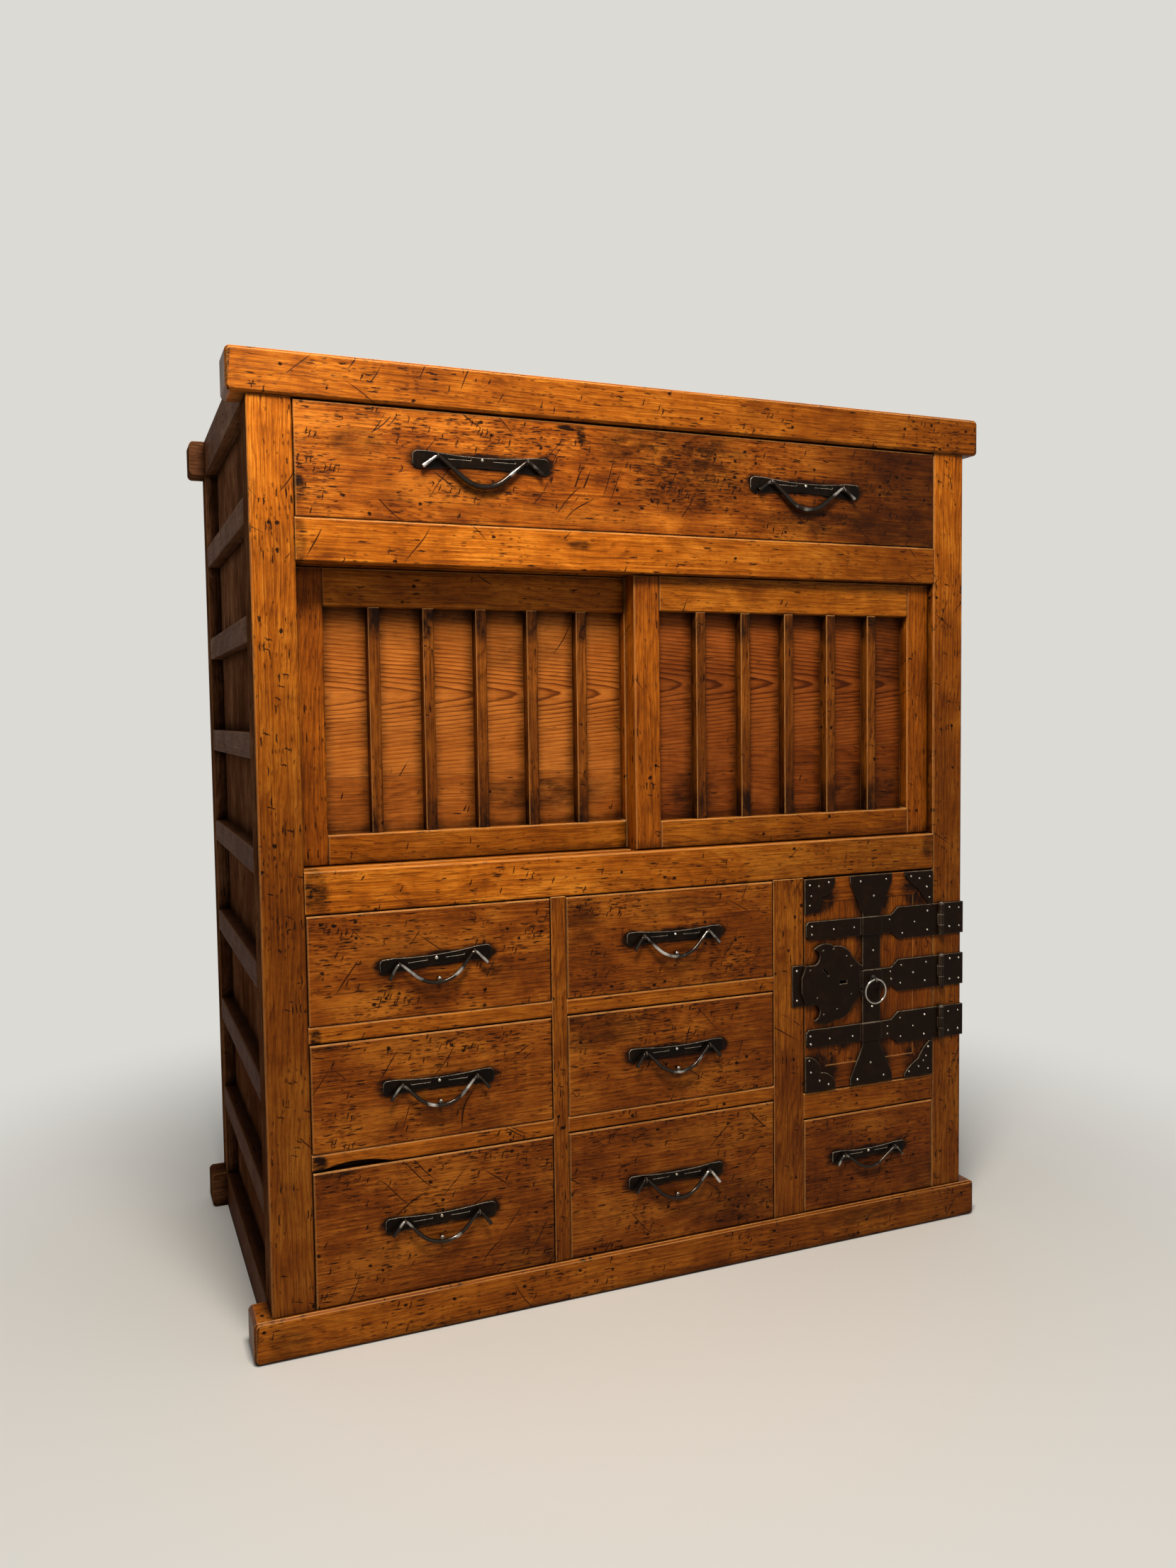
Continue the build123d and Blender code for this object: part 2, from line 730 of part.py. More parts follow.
def eye_pin(centre, across, hole, wall, thickness, shank, reach):
    """A flat eye bent round its hole, on a square shank that reaches back to what it is driven into. Its
    hole looks along across, and its middle is at centre."""
    from_side = Plane(origin=centre - across * (thickness / 2), x_dir=(0, 1, 0), z_dir=across)
    with BuildPart() as eye:
        with BuildSketch(from_side):
            RegularPolygon(hole + wall, eye_flats)
            with Locations((reach / 2, 0)):
                Rectangle(reach, shank)
            RegularPolygon(hole, eye_flats, mode=Mode.SUBTRACT)
        extrude(amount=thickness)
    return eye.part


def pull_irons(centre, pull, size):
    """A bail's fixed irons: the plate, two eyes, the middle nail and the stud that some bails rest on."""
    on_plate = pull_plane(centre, pull.plate_turn)
    on_axis = pull_plane(centre, pull.turn)
    quarter = size.eye_spacing / 4
    with BuildPart() as plate:
        with BuildSketch(on_plate):
            make_face(plate_outline(size))
            with Locations((-quarter, 0), (quarter, 0)):
                Rectangle(quarter, slot_width, mode=Mode.SUBTRACT)
        extrude(amount=plate_iron)
    irons = [plate.part, bossed(on_plate.offset(plate_iron), 0, 0, nail_radius, nail_height, nail_bevel)]
    for side in both_sides:
        eye_centre = on_axis.from_local_coords(Vector(side * size.eye_spacing / 2, 0, eye_stand_off))
        irons.append(eye_pin(eye_centre, on_axis.x_dir, eye_hole, eye_wall, eye_thickness, eye_shank,
                             eye_stand_off - plate_iron))
    if size.on_stud:
        neck_length = stud_stand_off(size) - stud_head
        with BuildPart() as stud:
            with BuildSketch(on_axis):
                with Locations((0, stud_lift - size.drop)):
                    RegularPolygon(stud_neck, boss_flats)
            extrude(amount=neck_length)
            add(bossed(on_axis.offset(neck_length), 0, stud_lift - size.drop, stud_radius, stud_head,
                       stud_bevel))
        irons.append(stud.part)
    return irons


def rod_sections(wire, radii):
    """Where a bent rod's section is set, as shares of its length, and its radius there. Each run tapers
    between the radii at its two ends, and each bend keeps one radius and is stepped round."""
    places = [(0.0, radii[0])]
    reached = 0.0
    for edge, start, end in zip(wire.edges(), radii, radii[1:]):
        turn = abs((edge % 0).get_angle(edge % 1))
        steps = max(round(turn / bend_step), 1)
        for step in range(1, steps + 1):
            share = (reached + edge.length * step / steps) / wire.length
            places.append((share, start + (end - start) * step / steps))
        reached += edge.length
    return places


def forged_rod(sections):
    """A rod forged with flat facets between its six-sided sections, each given as a plane and a radius."""
    loops = []
    for plane, radius in sections:
        loops.append([plane.from_local_coords(corner.position)
                      for corner in PolarLocations(radius, rod_flats)])
    facets = [Face(Wire.make_polygon(loop)) for loop in (loops[0], loops[-1])]
    for near, far in zip(loops, loops[1:]):
        for side in range(rod_flats):
            facets.append(Face(Wire.make_polygon((near[side - 1], near[side], far[side], far[side - 1]))))
    return Solid(Shell(facets))


def bail(centre, pull, size):
    """A bail bent from one six-sided rod, thick in the middle, hung in its eyes with its ends turned out."""
    face = pull_plane(centre, pull.turn)
    lean = bail_lean(size)
    hung = Plane(origin=face.from_local_coords(Vector(0, 0, eye_stand_off)), x_dir=face.x_dir,
                 z_dir=face.z_dir * cos(lean) + face.y_dir * sin(lean))
    inner = size.eye_spacing / 2 - bail_eye_run
    outer = size.eye_spacing / 2 + bail_eye_run
    turn = radians(size.leg_angle)
    depth = inner * tan(turn)
    curve = (depth - size.drop) / (1 / cos(turn) - 1)
    tip_x = outer + size.outer_leg * cos(radians(size.outer_angle))
    tip_z = -size.outer_leg * sin(radians(size.outer_angle))
    eye, middle = size.rod_eye, size.rod_middle
    radii = [size.rod_tip, eye, eye, eye, eye, middle, middle, eye, eye, eye, eye, size.rod_tip]
    with BuildLine(hung) as course:
        FilletPolyline((-tip_x, tip_z), (-outer, 0), (-inner, 0), (0, -depth), (inner, 0), (outer, 0),
                       (tip_x, tip_z), radius=[bail_bend, bail_bend, curve, bail_bend, bail_bend])
    wire = course.wires()[0]
    return forged_rod([(Plane(origin=wire @ share, x_dir=hung.z_dir, z_dir=wire % share), radius)
                       for share, radius in rod_sections(wire, radii)])


def pull_centre(bay, floor, opening, pull):
    """The middle of a pull's eyes in X and Z."""
    return ((bay[0] + bay[1]) / 2 + pull.across, floor + opening / 2 + pull.up)


bay, floor, opening, size = drawers["top_drawer"]
top_irons = []
for side, pull in (("left", top_left_pull), ("right", top_right_pull)):
    centre = pull_centre(bay, floor, opening, pull)
    top_irons += pull_irons(centre, pull, size)
    store(f"top_bail_{side}", bail(centre, pull, size))
store("top_drawer_irons", *top_irons)
for name, pull in drawer_pulls.items():
    bay, floor, opening, size = drawers[name]
    centre = pull_centre(bay, floor, opening, pull)
    store(f"{name}_irons", *pull_irons(centre, pull, size))
    store(f"{name}_bail", bail(centre, pull, size))

# Sliding doors: the right one runs in the front grooves, the left one in the rear grooves
door_width = (2 * x_post_inner + door_stile) / 2 - door_stop_gap
shoulder_z = (z_sill + door_shoulder_gap, z_upper_rail - door_shoulder_gap)
tongue_z = (z_sill - sill_groove + slide_gap, z_upper_rail + head_tongue)


def sliding_door(name, x_left, track, lower_board):
    """A door of two stiles, two rails, upright slats and a grooved-in panel of two boards."""
    y_door = track - door_thickness / 2
    x = (x_left, x_left + door_width)
    inside = inset(x, door_stile)
    rail_z = (shoulder_z[0] + door_bottom_rail, shoulder_z[1] - door_top_rail)
    door_y = (y_door, y_door + door_thickness)
    tongue_y = (track - tongue_thickness / 2, track + tongue_thickness / 2)
    panel_y_span = (y_door + door_panel_setback, y_door + door_panel_setback + door_panel_thickness)
    panel_x_span = (inside[0] - door_panel_groove, inside[1] + door_panel_groove)
    panel_z_span = (rail_z[0] - door_panel_groove, rail_z[1] + door_panel_groove)
    members = []
    for x_span, z_span in (((x[0], inside[0]), shoulder_z), ((inside[1], x[1]), shoulder_z),
                           (inside, (shoulder_z[0], rail_z[0])), (inside, (rail_z[1], shoulder_z[1]))):
        with BuildPart() as member:
            block(x_span, door_y, z_span)
            chamfer(member.faces().sort_by(Axis.Y)[0].edges(), length=drawer_arris)
            if z_span[0] == shoulder_z[0]:
                block(x_span, tongue_y, (tongue_z[0], shoulder_z[0]))
            if z_span[1] == shoulder_z[1]:
                block(x_span, tongue_y, (shoulder_z[1], tongue_z[1]))
            block(panel_x_span, panel_y_span, panel_z_span, mode=Mode.SUBTRACT)
        members.append(member.part)
    store(f"{name}_frame", *members)
    clear = (inside[1] - inside[0] - slat_count * slat_width) / (slat_count + 1)
    slats = []
    for place in range(slat_count):
        x_slat = inside[0] + clear + place * (slat_width + clear)
        slats.append(board((x_slat, x_slat + slat_width),
                           (y_door + slat_setback, y_door + door_panel_setback), rail_z))
    store(f"{name}_slats", *slats)
    z_joint = rail_z[0] + lower_board
    store(f"{name}_panel", board(panel_x_span, panel_y_span, (panel_z_span[0], z_joint)),
          board(panel_x_span, panel_y_span, (z_joint + board_gap, panel_z_span[1])))


sliding_door("left_door", -x_post_inner + door_stop_gap, track_y[1], left_lower_board)
sliding_door("right_door", x_post_inner - door_stop_gap - door_width, track_y[0], right_lower_board)

# Safe door leaf: four mitred members round a flush panel, its free edge bevelled to clear the stile
y_leaf = y_face - leaf_proud
leaf_x = (right_bay[0] + leaf_lock_gap, right_bay[1] - leaf_lock_gap)
leaf_z = (z_safe + leaf_gap, z_middle_rail - leaf_gap)
leaf_y = (y_leaf, y_leaf + leaf_thickness)
field_x = inset(leaf_x, leaf_frame_width)
field_z = inset(leaf_z, leaf_frame_width)
upright_plane = Plane(origin=(0, y_leaf, 0), x_dir=(1, 0, 0), z_dir=(0, 1, 0))


def on_upright(x, z):
    """A point in X and Z as the coordinates of the door's own face plane."""
    return (x, -z)


safe_middle = (leaf_z[0] + leaf_z[1]) / 2 + strap_rise
case_y = (leaf_y[1], leaf_y[1] + lock_case_depth)
bolt_y = (case_y[0] + bolt_cover, case_y[0] + bolt_cover + bolt_thickness)
keyhole_middle = leaf_x[0] + keyhole_from_edge
keyway = ((keyhole_middle - keyhole_length / 2, keyhole_middle + keyhole_length / 2),
          (y_leaf - iron - lock_iron - overrun, bolt_y[0]),
          (safe_middle - keyhole_height / 2, safe_middle + keyhole_height / 2))


def leaf_member(corners):
    """A mitred member of the leaf between its four corners in X and Z, bevelled at the lock side."""
    with BuildPart() as member:
        with BuildSketch(upright_plane):
            with BuildLine():
                Polyline(*(on_upright(x, z) for x, z in corners), close=True)
            make_face()
        extrude(amount=leaf_thickness)
        bevel_plane = Plane(origin=(0, 0, leaf_z[0] - overrun))
        with BuildSketch(bevel_plane):
            with BuildLine():
                Polyline((leaf_x[0] - overrun, leaf_y[0]), (leaf_x[0], leaf_y[0]),
                         (leaf_x[0] + leaf_bevel, leaf_y[1]), (leaf_x[0] - overrun, leaf_y[1]), close=True)
            make_face()
        extrude(amount=leaf_z[1] - leaf_z[0] + 2 * overrun, mode=Mode.SUBTRACT)
    return member.part


def corners_of(x, z):
    """The four corners of an upright rectangle, in order round it."""
    return [(x[0], z[0]), (x[1], z[0]), (x[1], z[1]), (x[0], z[1])]


outer_corners = corners_of(leaf_x, leaf_z)
field_corners = corners_of(field_x, field_z)
leaf_members = []
for corner in range(len(outer_corners)):
    before = corner - 1
    leaf_members.append(leaf_member([outer_corners[before], outer_corners[corner],
                                     field_corners[corner], field_corners[before]]))
with BuildPart() as leaf_field:
    block(field_x, leaf_y, field_z)
    block(*keyway, mode=Mode.SUBTRACT)
store("safe_door_leaf", *leaf_members, leaf_field.part)

# Safe door irons: three hinge straps over an upright band, and four corner plates
hinge_x = right_bay[1] + knuckle_offset
hinge_y = y_leaf - knuckle_radius
strap_levels = [safe_middle - strap_pitch, safe_middle, safe_middle + strap_pitch]
band_middle = (leaf_x[0] + leaf_x[1]) / 2 + strap_rise
band_x = (band_middle - band_width / 2, band_middle + band_width / 2)
pin_radius = knuckle_radius - knuckle_wall
knuckle = hinge_height / 3
strap_start = leaf_x[0] + strap_rise


def strap_band(x_end):
    """The bent line of a strap seen from above: flat on the leaf, stepped over the upright band."""
    back, front, raised = y_leaf, y_leaf - iron, y_leaf - 2 * iron
    step = iron / 2
    return [(strap_start, back), (band_x[0] - iron, back), (band_x[0], front), (band_x[1], front),
            (band_x[1] + iron, back), (x_end, back), (x_end, front), (band_x[1] + iron + step, front),
            (band_x[1] + step, raised), (band_x[0] - step, raised), (band_x[0] - iron - step, front),
            (strap_start, front)]


def hinge_strap(level):
    """A strap hinge leaf, narrow across the door and wide at the hinge, its knuckle rolled round the pin."""
    x_wide = leaf_x[1] - hinge_length
    half, wide = strap_height / 2, hinge_height / 2
    knuckle_z = (level - knuckle / 2 + knuckle_gap / 2, level + knuckle / 2 - knuckle_gap / 2)
    with BuildPart() as strap:
        with BuildSketch(Plane.XY.offset(level - wide)):
            with BuildLine():
                Polyline(*strap_band(hinge_x), close=True)
            make_face()
        extrude(amount=hinge_height)
        with BuildSketch(Plane(origin=(0, y_leaf + overrun, 0), x_dir=(1, 0, 0), z_dir=(0, -1, 0))):
            with BuildLine():
                Polyline((strap_start, level - half + strap_clip), (strap_start + strap_clip, level - half),
                         (x_wide - hinge_flare, level - half), (x_wide, level - wide),
                         (hinge_x, level - wide), (hinge_x, level + wide), (x_wide, level + wide),
                         (x_wide - hinge_flare, level + half), (strap_start + strap_clip, level + half),
                         (strap_start, level + half - strap_clip), close=True)
            make_face()
        extrude(amount=3 * iron + overrun, mode=Mode.INTERSECT)
        notch_x = (hinge_x - knuckle_radius - knuckle_gap, hinge_x + overrun)
        notch_y = (y_leaf - iron - overrun, y_leaf + overrun)
        block(notch_x, notch_y, (level - wide - overrun, knuckle_z[0]), mode=Mode.SUBTRACT)
        block(notch_x, notch_y, (knuckle_z[1], level + wide + overrun), mode=Mode.SUBTRACT)
        with BuildSketch(Plane(origin=(hinge_x, hinge_y, knuckle_z[0]))):
            RegularPolygon(knuckle_radius, knuckle_flats)
        extrude(amount=knuckle_z[1] - knuckle_z[0])
        with BuildSketch(Plane(origin=(hinge_x, hinge_y, level - wide - overrun))):
            Circle(pin_radius + pin_clearance)
        extrude(amount=hinge_height + 2 * overrun, mode=Mode.SUBTRACT)
        block(*keyway, mode=Mode.SUBTRACT)
    return strap.part


def upright_band():
    """The upright band of the door, flared at the head and the foot."""
    low, high = leaf_z
    right_edge = [(band_flare / 2, low), (band_flare / 2, low + band_foot),
                  (band_width / 2, low + band_flare_height), (band_width / 2, high - band_flare_height),
                  (band_flare / 2, high - band_foot), (band_flare / 2, high)]
    with BuildPart() as band:
        with BuildSketch(Plane(origin=(band_middle, y_leaf, 0), x_dir=(1, 0, 0), z_dir=(0, -1, 0))):
            with BuildLine():
                Polyline(*right_edge, *((-x, z) for x, z in reversed(right_edge)), close=True)
            make_face()
        extrude(amount=iron)
    return band.part


def corner_plate(across, up):
    """A corner plate whose inner edge is two lobes meeting at a notch; across and up point inwards."""
    x_corner = leaf_x[0] if across > 0 else leaf_x[1]
    z_corner = leaf_z[0] if up > 0 else leaf_z[1]
    lobe = free_corner_lobe if across > 0 else hung_corner_lobe
    middle = (corner_leg + corner_cusp) / 2 + lobe / 2
    middle_lip = (corner_lip + corner_cusp) / 2 + lobe

    def at(x, z):
        return (x_corner + across * x, z_corner + up * z)

    with BuildPart() as plate:
        with BuildSketch(Plane(origin=(0, y_leaf, 0), x_dir=(1, 0, 0), z_dir=(0, -1, 0))):
            with BuildLine():
                Polyline(at(corner_lip, corner_leg), at(0, corner_leg), at(0, 0), at(corner_leg, 0),
                         at(corner_leg, corner_lip))
                ThreePointArc(at(corner_leg, corner_lip), at(middle, middle_lip),
                              at(corner_cusp, corner_cusp))
                ThreePointArc(at(corner_cusp, corner_cusp), at(middle_lip, middle),
                              at(corner_lip, corner_leg))
            make_face()
        extrude(amount=iron)
    return plate.part


store("safe_door_irons", *(hinge_strap(level) for level in strap_levels), upright_band(),
      *(corner_plate(across, up) for across in both_sides for up in both_sides))


# Hinge plates on the post, wrapped round its outer edge, and their pins
def post_plate(level):
    """The post half of a hinge: two knuckles, a plate on the post's face and a return round its side."""
    wide = hinge_height / 2
    knuckle_top = (level + knuckle / 2 + knuckle_gap / 2, level + wide)
    knuckle_foot = (level - wide, level - knuckle / 2 - knuckle_gap / 2)
    x_wrap = x_post_outer + iron
    with BuildPart() as plate:
        block((hinge_x, x_wrap), (y_face - iron, y_face), (level - wide, level + wide))
        block((x_post_outer, x_wrap), (y_face - iron, y_face + post_plate_wrap),
              (level - wide, level + wide))
        block((hinge_x - overrun, hinge_x + knuckle_radius + knuckle_gap),
              (y_face - iron - overrun, y_face + overrun), (knuckle_foot[1], knuckle_top[0]),
              mode=Mode.SUBTRACT)
        for low, high in (knuckle_foot, knuckle_top):
            with BuildSketch(Plane(origin=(hinge_x, hinge_y, low))):
                RegularPolygon(knuckle_radius, knuckle_flats)
            extrude(amount=high - low)
        with BuildSketch(Plane(origin=(hinge_x, hinge_y, level - wide - overrun))):
            Circle(pin_radius + pin_clearance)
        extrude(amount=hinge_height + 2 * overrun, mode=Mode.SUBTRACT)
    return plate.part


def hinge_pin(level):
    """A loose pin with a domed head that rests on the top knuckle."""
    wide = hinge_height / 2
    with BuildPart() as pin:
        with BuildSketch(Plane(origin=(hinge_x, hinge_y, level - wide))):
            Circle(pin_radius)
        extrude(amount=hinge_height)
        with BuildSketch(Plane(origin=(hinge_x, hinge_y, level + wide))):
            RegularPolygon(pin_head_radius, boss_flats)
        extrude(amount=pin_head_height)
        chamfer(pin.faces().sort_by(Axis.Z)[-1].edges(), length=pin_head_height / 2)
    return pin.part


store("hinge_post_plates", *(post_plate(level) for level in strap_levels))
store("hinge_pins", *(hinge_pin(level) for level in strap_levels))

# Lock: a cusped plate whose tab overlaps the strike, with its case and bolt behind the leaf
y_lock = y_leaf - iron
x_edge = leaf_x[0]

lock_spread = (band_x[0] - lock_band_gap - x_edge) / lock_tip[0]
lock_line = [lock_tab_tip, lock_tab_top, lock_bite_start, lock_bite_middle, lock_horn, lock_crown, lock_cusp,
             lock_brow, lock_shoulder, lock_cheek, lock_tip, lock_nose]


def lock_half(up):
    """The lock plate's outline on one side of its middle line, closed along that line. It reaches from the
    door's free edge to the upright band."""
    points = [(x_edge + lock_spread * x, safe_middle + up * z) for x, z in lock_line]
    tab_tip, tab_top, bite_start, bite_middle, horn, crown, cusp, brow, shoulder, cheek, tip, nose = points
    Polyline((tab_tip[0], safe_middle), tab_tip, tab_top, bite_start)
    ThreePointArc(bite_start, bite_middle, horn)
    ThreePointArc(horn, crown, cusp)
    ThreePointArc(cusp, brow, shoulder)
    ThreePointArc(shoulder, cheek, tip)
    Polyline(tip, nose, (nose[0], safe_middle), (tab_tip[0], safe_middle))


with BuildPart() as lock_plate:
    lock_face = Plane(origin=(0, y_lock, 0), x_dir=(1, 0, 0), z_dir=(0, -1, 0))
    for up in both_sides:
        with BuildSketch(lock_face):
            with BuildLine():
                lock_half(up)
            make_face()
        extrude(amount=lock_iron)
    block(*keyway, mode=Mode.SUBTRACT)
    with BuildSketch(lock_face.offset(-overrun)):
        with Locations(Location((x_edge + shutter_slot_from_edge, safe_middle + shutter_slot_rise, 0),
                                (0, 0, -shutter_slot_angle))):
            SlotOverall(shutter_slot_length, shutter_slot_width)
    extrude(amount=lock_iron + 2 * overrun, mode=Mode.SUBTRACT)

case_x = (x_edge + lock_case_inset, x_edge + lock_case_inset + lock_case_length)
case_z = (safe_middle - lock_case_height / 2, safe_middle + lock_case_height / 2)
bolt_z = (safe_middle - bolt_height / 2, safe_middle + bolt_height / 2)
bolt_x = (x_edge + bolt_inset, x_edge + bolt_inset + bolt_length)
with BuildPart() as lock_case:
    block(case_x, case_y, case_z)
    block((case_x[0] - overrun, case_x[1] - lock_case_inset / 2), inset(bolt_y, -bolt_clearance),
          inset(bolt_z, -bolt_clearance), mode=Mode.SUBTRACT)
    block(*keyway, mode=Mode.SUBTRACT)
store("safe_lock", lock_plate.part, lock_case.part)
store("safe_lock_bolt", board(bolt_x, bolt_y, bolt_z))

strike_x = (right_bay[0] - strike_width, right_bay[0])
store("strike_plate", board(strike_x, (y_face - strike_iron, y_face),
                            (safe_middle - strike_height / 2, safe_middle + strike_height / 2)))

# Ring pull on the upright band
ring_x = band_middle + ring_from_band_middle
y_ring_eye = y_leaf - 2 * iron - staple_stand_off
y_band_top = y_leaf - 2 * iron
band_face = Plane(origin=(ring_x, y_band_top, safe_middle), x_dir=(1, 0, 0), z_dir=(0, -1, 0))
with BuildPart() as rosette:
    with BuildSketch(band_face):
        RegularPolygon(rosette_radius, eye_flats)
    extrude(amount=rosette_thickness)
ring_eye = Vector(ring_x, y_ring_eye, safe_middle)
store("ring_staple", rosette.part, eye_pin(ring_eye, Vector(1, 0, 0), staple_hole, staple_wall,
                                           staple_thickness, staple_shank,
                                           staple_stand_off - rosette_thickness))

ring_plane = Plane(origin=ring_eye - Vector(0, 0, ring_radius), x_dir=(1, 0, 0), z_dir=(0, -1, 0))
with BuildPart() as ring_pull:
    with BuildLine(ring_plane) as ring_course:
        Polyline(*(corner.position for corner in PolarLocations(ring_radius, ring_lengths)), close=True)
    with BuildSketch(Plane(origin=ring_course.line @ 0, z_dir=ring_course.line % 0)):
        RegularPolygon(ring_rod, rod_flats)
    sweep(path=ring_course.wires()[0], transition=Transition.RIGHT)
store("ring_pull", ring_pull.part)
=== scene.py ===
from functools import partial
from math import acos, asin, cos, pi, radians, sin, tan

import bpy
import numpy as np
from mathutils import Matrix, Vector


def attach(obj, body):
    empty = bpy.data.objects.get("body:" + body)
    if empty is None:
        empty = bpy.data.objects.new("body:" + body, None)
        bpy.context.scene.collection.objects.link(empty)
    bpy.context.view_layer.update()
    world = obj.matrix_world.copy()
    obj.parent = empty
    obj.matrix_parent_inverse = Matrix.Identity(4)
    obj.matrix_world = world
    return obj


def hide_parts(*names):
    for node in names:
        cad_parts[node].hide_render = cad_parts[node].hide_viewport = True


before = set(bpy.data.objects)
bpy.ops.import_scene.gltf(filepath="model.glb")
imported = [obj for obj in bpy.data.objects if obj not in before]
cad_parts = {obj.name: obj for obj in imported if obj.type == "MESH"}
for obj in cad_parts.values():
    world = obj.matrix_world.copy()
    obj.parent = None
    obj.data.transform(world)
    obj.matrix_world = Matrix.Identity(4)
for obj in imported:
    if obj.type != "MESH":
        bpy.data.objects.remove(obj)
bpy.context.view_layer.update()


# Corner posts and the stiles between the bays. Zelkova, tenoned into the long rails, planed by hand and wiped
# with amber lacquer that a century of use has dented, scratched and rubbed through along every arris. The arrises
# that look up and to the left also carry a painted highlight, and those that look down grime and painted shade.
def linear(hex_code):
    """An sRGB hex colour in linear light: a channel up to 0.04045 is divided by 12.92, and a higher one has
    0.055 added, is divided by 1.055 and raised to the power 2.4."""
    channels = np.array([int(hex_code[at:at + 2], 16) for at in (1, 3, 5)]) / 255
    curved = np.where(channels <= 0.04045, channels / 12.92, ((channels + 0.055) / 1.055) ** 2.4)
    return (*curved.tolist(), 1.0)


def add(tree, kind, inputs=(), out=0, stops=(), **settings):
    """Adds one node, its operation named after its kind, with its settings, its inputs as values or links in
    order or by name, and a ramp's stops, and gives back the output asked for."""
    kind, *operation = kind.split()
    node = tree.nodes.new("ShaderNode" + kind)
    if operation:
        node.operation = operation[0]
    for key, value in settings.items():
        setattr(node, key, value)
    for key, value in (inputs.items() if isinstance(inputs, dict) else enumerate(inputs)):
        if isinstance(value, bpy.types.NodeSocket):
            tree.links.new(value, node.inputs[key])
        else:
            node.inputs[key].default_value = value
    for number, (place, tone) in enumerate(stops):
        elements = node.color_ramp.elements
        element = elements[number] if number < len(elements) else elements.new(place)
        element.position, element.color = place, tone
    return node.outputs[out] if node.outputs else node


def begun(name):
    """An empty material and the way to add nodes to it."""
    material = bpy.data.materials.new(name)
    material.use_nodes = True
    material.node_tree.nodes.clear()
    return material, partial(add, material.node_tree)


def in_millimetres(node, grain="X", shift=(0, 0, 0)):
    """The chest's own coordinates, and the same in millimetres, turned so that the grain runs along X and
    shifted so that each board is cut from another part of the tree."""
    turned = {"X": (0, 0, 0), "Y": (0, 0, -pi / 2), "Z": (0, pi / 2, 0)}[grain]
    place = node("TexCoord", out="Object")
    return place, node("Mapping", {"Vector": place, "Location": shift, "Rotation": turned, "Scale": (1000,) * 3})


def mottle(node, space, long, deep, wide, layers=2.0, ragged=0.5, pulled=0.0):
    """Soft uneven patches, about that long, deep and wide in millimetres: noise on the board's own
    millimetres divided by those three sizes."""
    sized = node("Mapping", {"Vector": space, "Scale": (1 / long, 1 / deep, 1 / wide)})
    return node("TexNoise", {"Vector": sized, "Scale": 1.0, "Detail": layers, "Roughness": ragged,
                             "Distortion": pulled})


def lit_and_rubbed_arris(node, radius, start=0.995):
    """Where an outside edge is rubbed bare and carries a painted highlight, where it keeps its grime and carries
    painted shade, and the rounded normal. An edge is how far the normal, rounded over that radius in metres,
    leans away from the true one. Hands rub the edges that look up and to the near end, which also face the light
    and so are painted as highlights, and miss those that look down, which keep grime and are painted as shade."""
    soft = node("Bevel", {"Radius": radius}, samples=4)
    true = node("NewGeometry", out="Normal")
    agree = node("VectorMath DOT_PRODUCT", (soft, true), out="Value")
    edge = node("MapRange", (agree, 0.92, start, 1.0, 0.0))
    # Up and to the near end is the way the light falls from, so edges that face it are painted as highlights.
    faces_light = node("VectorMath DOT_PRODUCT", (soft, (-0.45, 0.0, 0.89)), out="Value")
    rubbed_and_highlit = node("Math MULTIPLY", (edge, node("MapRange", (faces_light, -0.05, 0.45, 0.0, 1.0))))
    downward_edge = node("Math MULTIPLY", (edge, node("MapRange", (faces_light, 0.05, -0.35, 0.0, 1.0))))
    return rubbed_and_highlit, downward_edge, soft


def weighed(node, base, parts):
    """A base plus each pattern times its weight."""
    for pattern, weight in parts:
        base = node("Math MULTIPLY_ADD", (pattern, weight, base))
    return base


def layered(node, paint, coats):
    """Coats laid over a colour one after another, each as strong as its pattern times its strength."""
    for pattern, strength, tone in coats:
        amount = node("Math MULTIPLY", (pattern, strength))
        paint = node("Mix", {0: amount, 6: paint, 7: linear(tone)}, out=2, data_type="RGBA", clamp_factor=True)
    return paint


def nicks(node, space, long, wide, least, most, share, crowd):
    """Separate short marks. The wood's face is divided into cells that long and wide in millimetres, a share of
    them, more where it is crowded, hold one mark each, and a mark fades out between two shares of its cell from
    the cell's own point. The cells lie on a plane that leans between the front and the top, so both carry them,
    and the lean is made up for in their width."""
    lean, made_up = radians(60), 1.15
    leaned = node("Mapping", {"Vector": space, "Rotation": (lean, 0, 0),
                              "Scale": (1 / long, made_up / wide, made_up / wide)})
    cell = node("TexVoronoi", {"Vector": leaned, "Scale": 1.0}, voronoi_dimensions="2D")
    chance = node("SeparateColor", (cell.node.outputs["Color"],))
    gather = min(2.2, 12 * share)
    chance = weighed(node, chance, ((crowd, gather),))
    few = 1 + gather / 2 - share
    held = node("MapRange", (chance, few, few + 0.01))
    shape = node("MapRange", (cell, least, most, 1.0, 0.0))
    return node("Math MULTIPLY", (shape, held))


def spot(node, place, x, z, across, up, turn=0.0, fuzz=1.0):
    """1 in the middle of an ellipse on the front, fading to 0 at its rim, and frayed by fuzz: the length of the
    place measured from its middle and divided by its half width and half height, all in millimetres."""
    middle = node("Mapping", {"Vector": place, "Location": (x / 1000, 0, z / 1000), "Rotation": (0, -turn, 0),
                              "Scale": (across / 1000, 10, up / 1000)}, vector_type="TEXTURE")
    reach = node("VectorMath LENGTH", (middle,), out="Value")
    inside = node("MapRange", (reach, 0.45, 1.0, 1.0, 0.0), interpolation_type="SMOOTHSTEP")
    return node("Math MULTIPLY", (inside, fuzz))


# Painted shade, standing in for the lamp's falloff: the way a piece darkens, where along it this begins and is
# complete, in metres, and how much. Most pieces darken down and to the right.
down_and_right = ((0.55, 0.0, -1.0), -1.12, -0.10, 0.50)


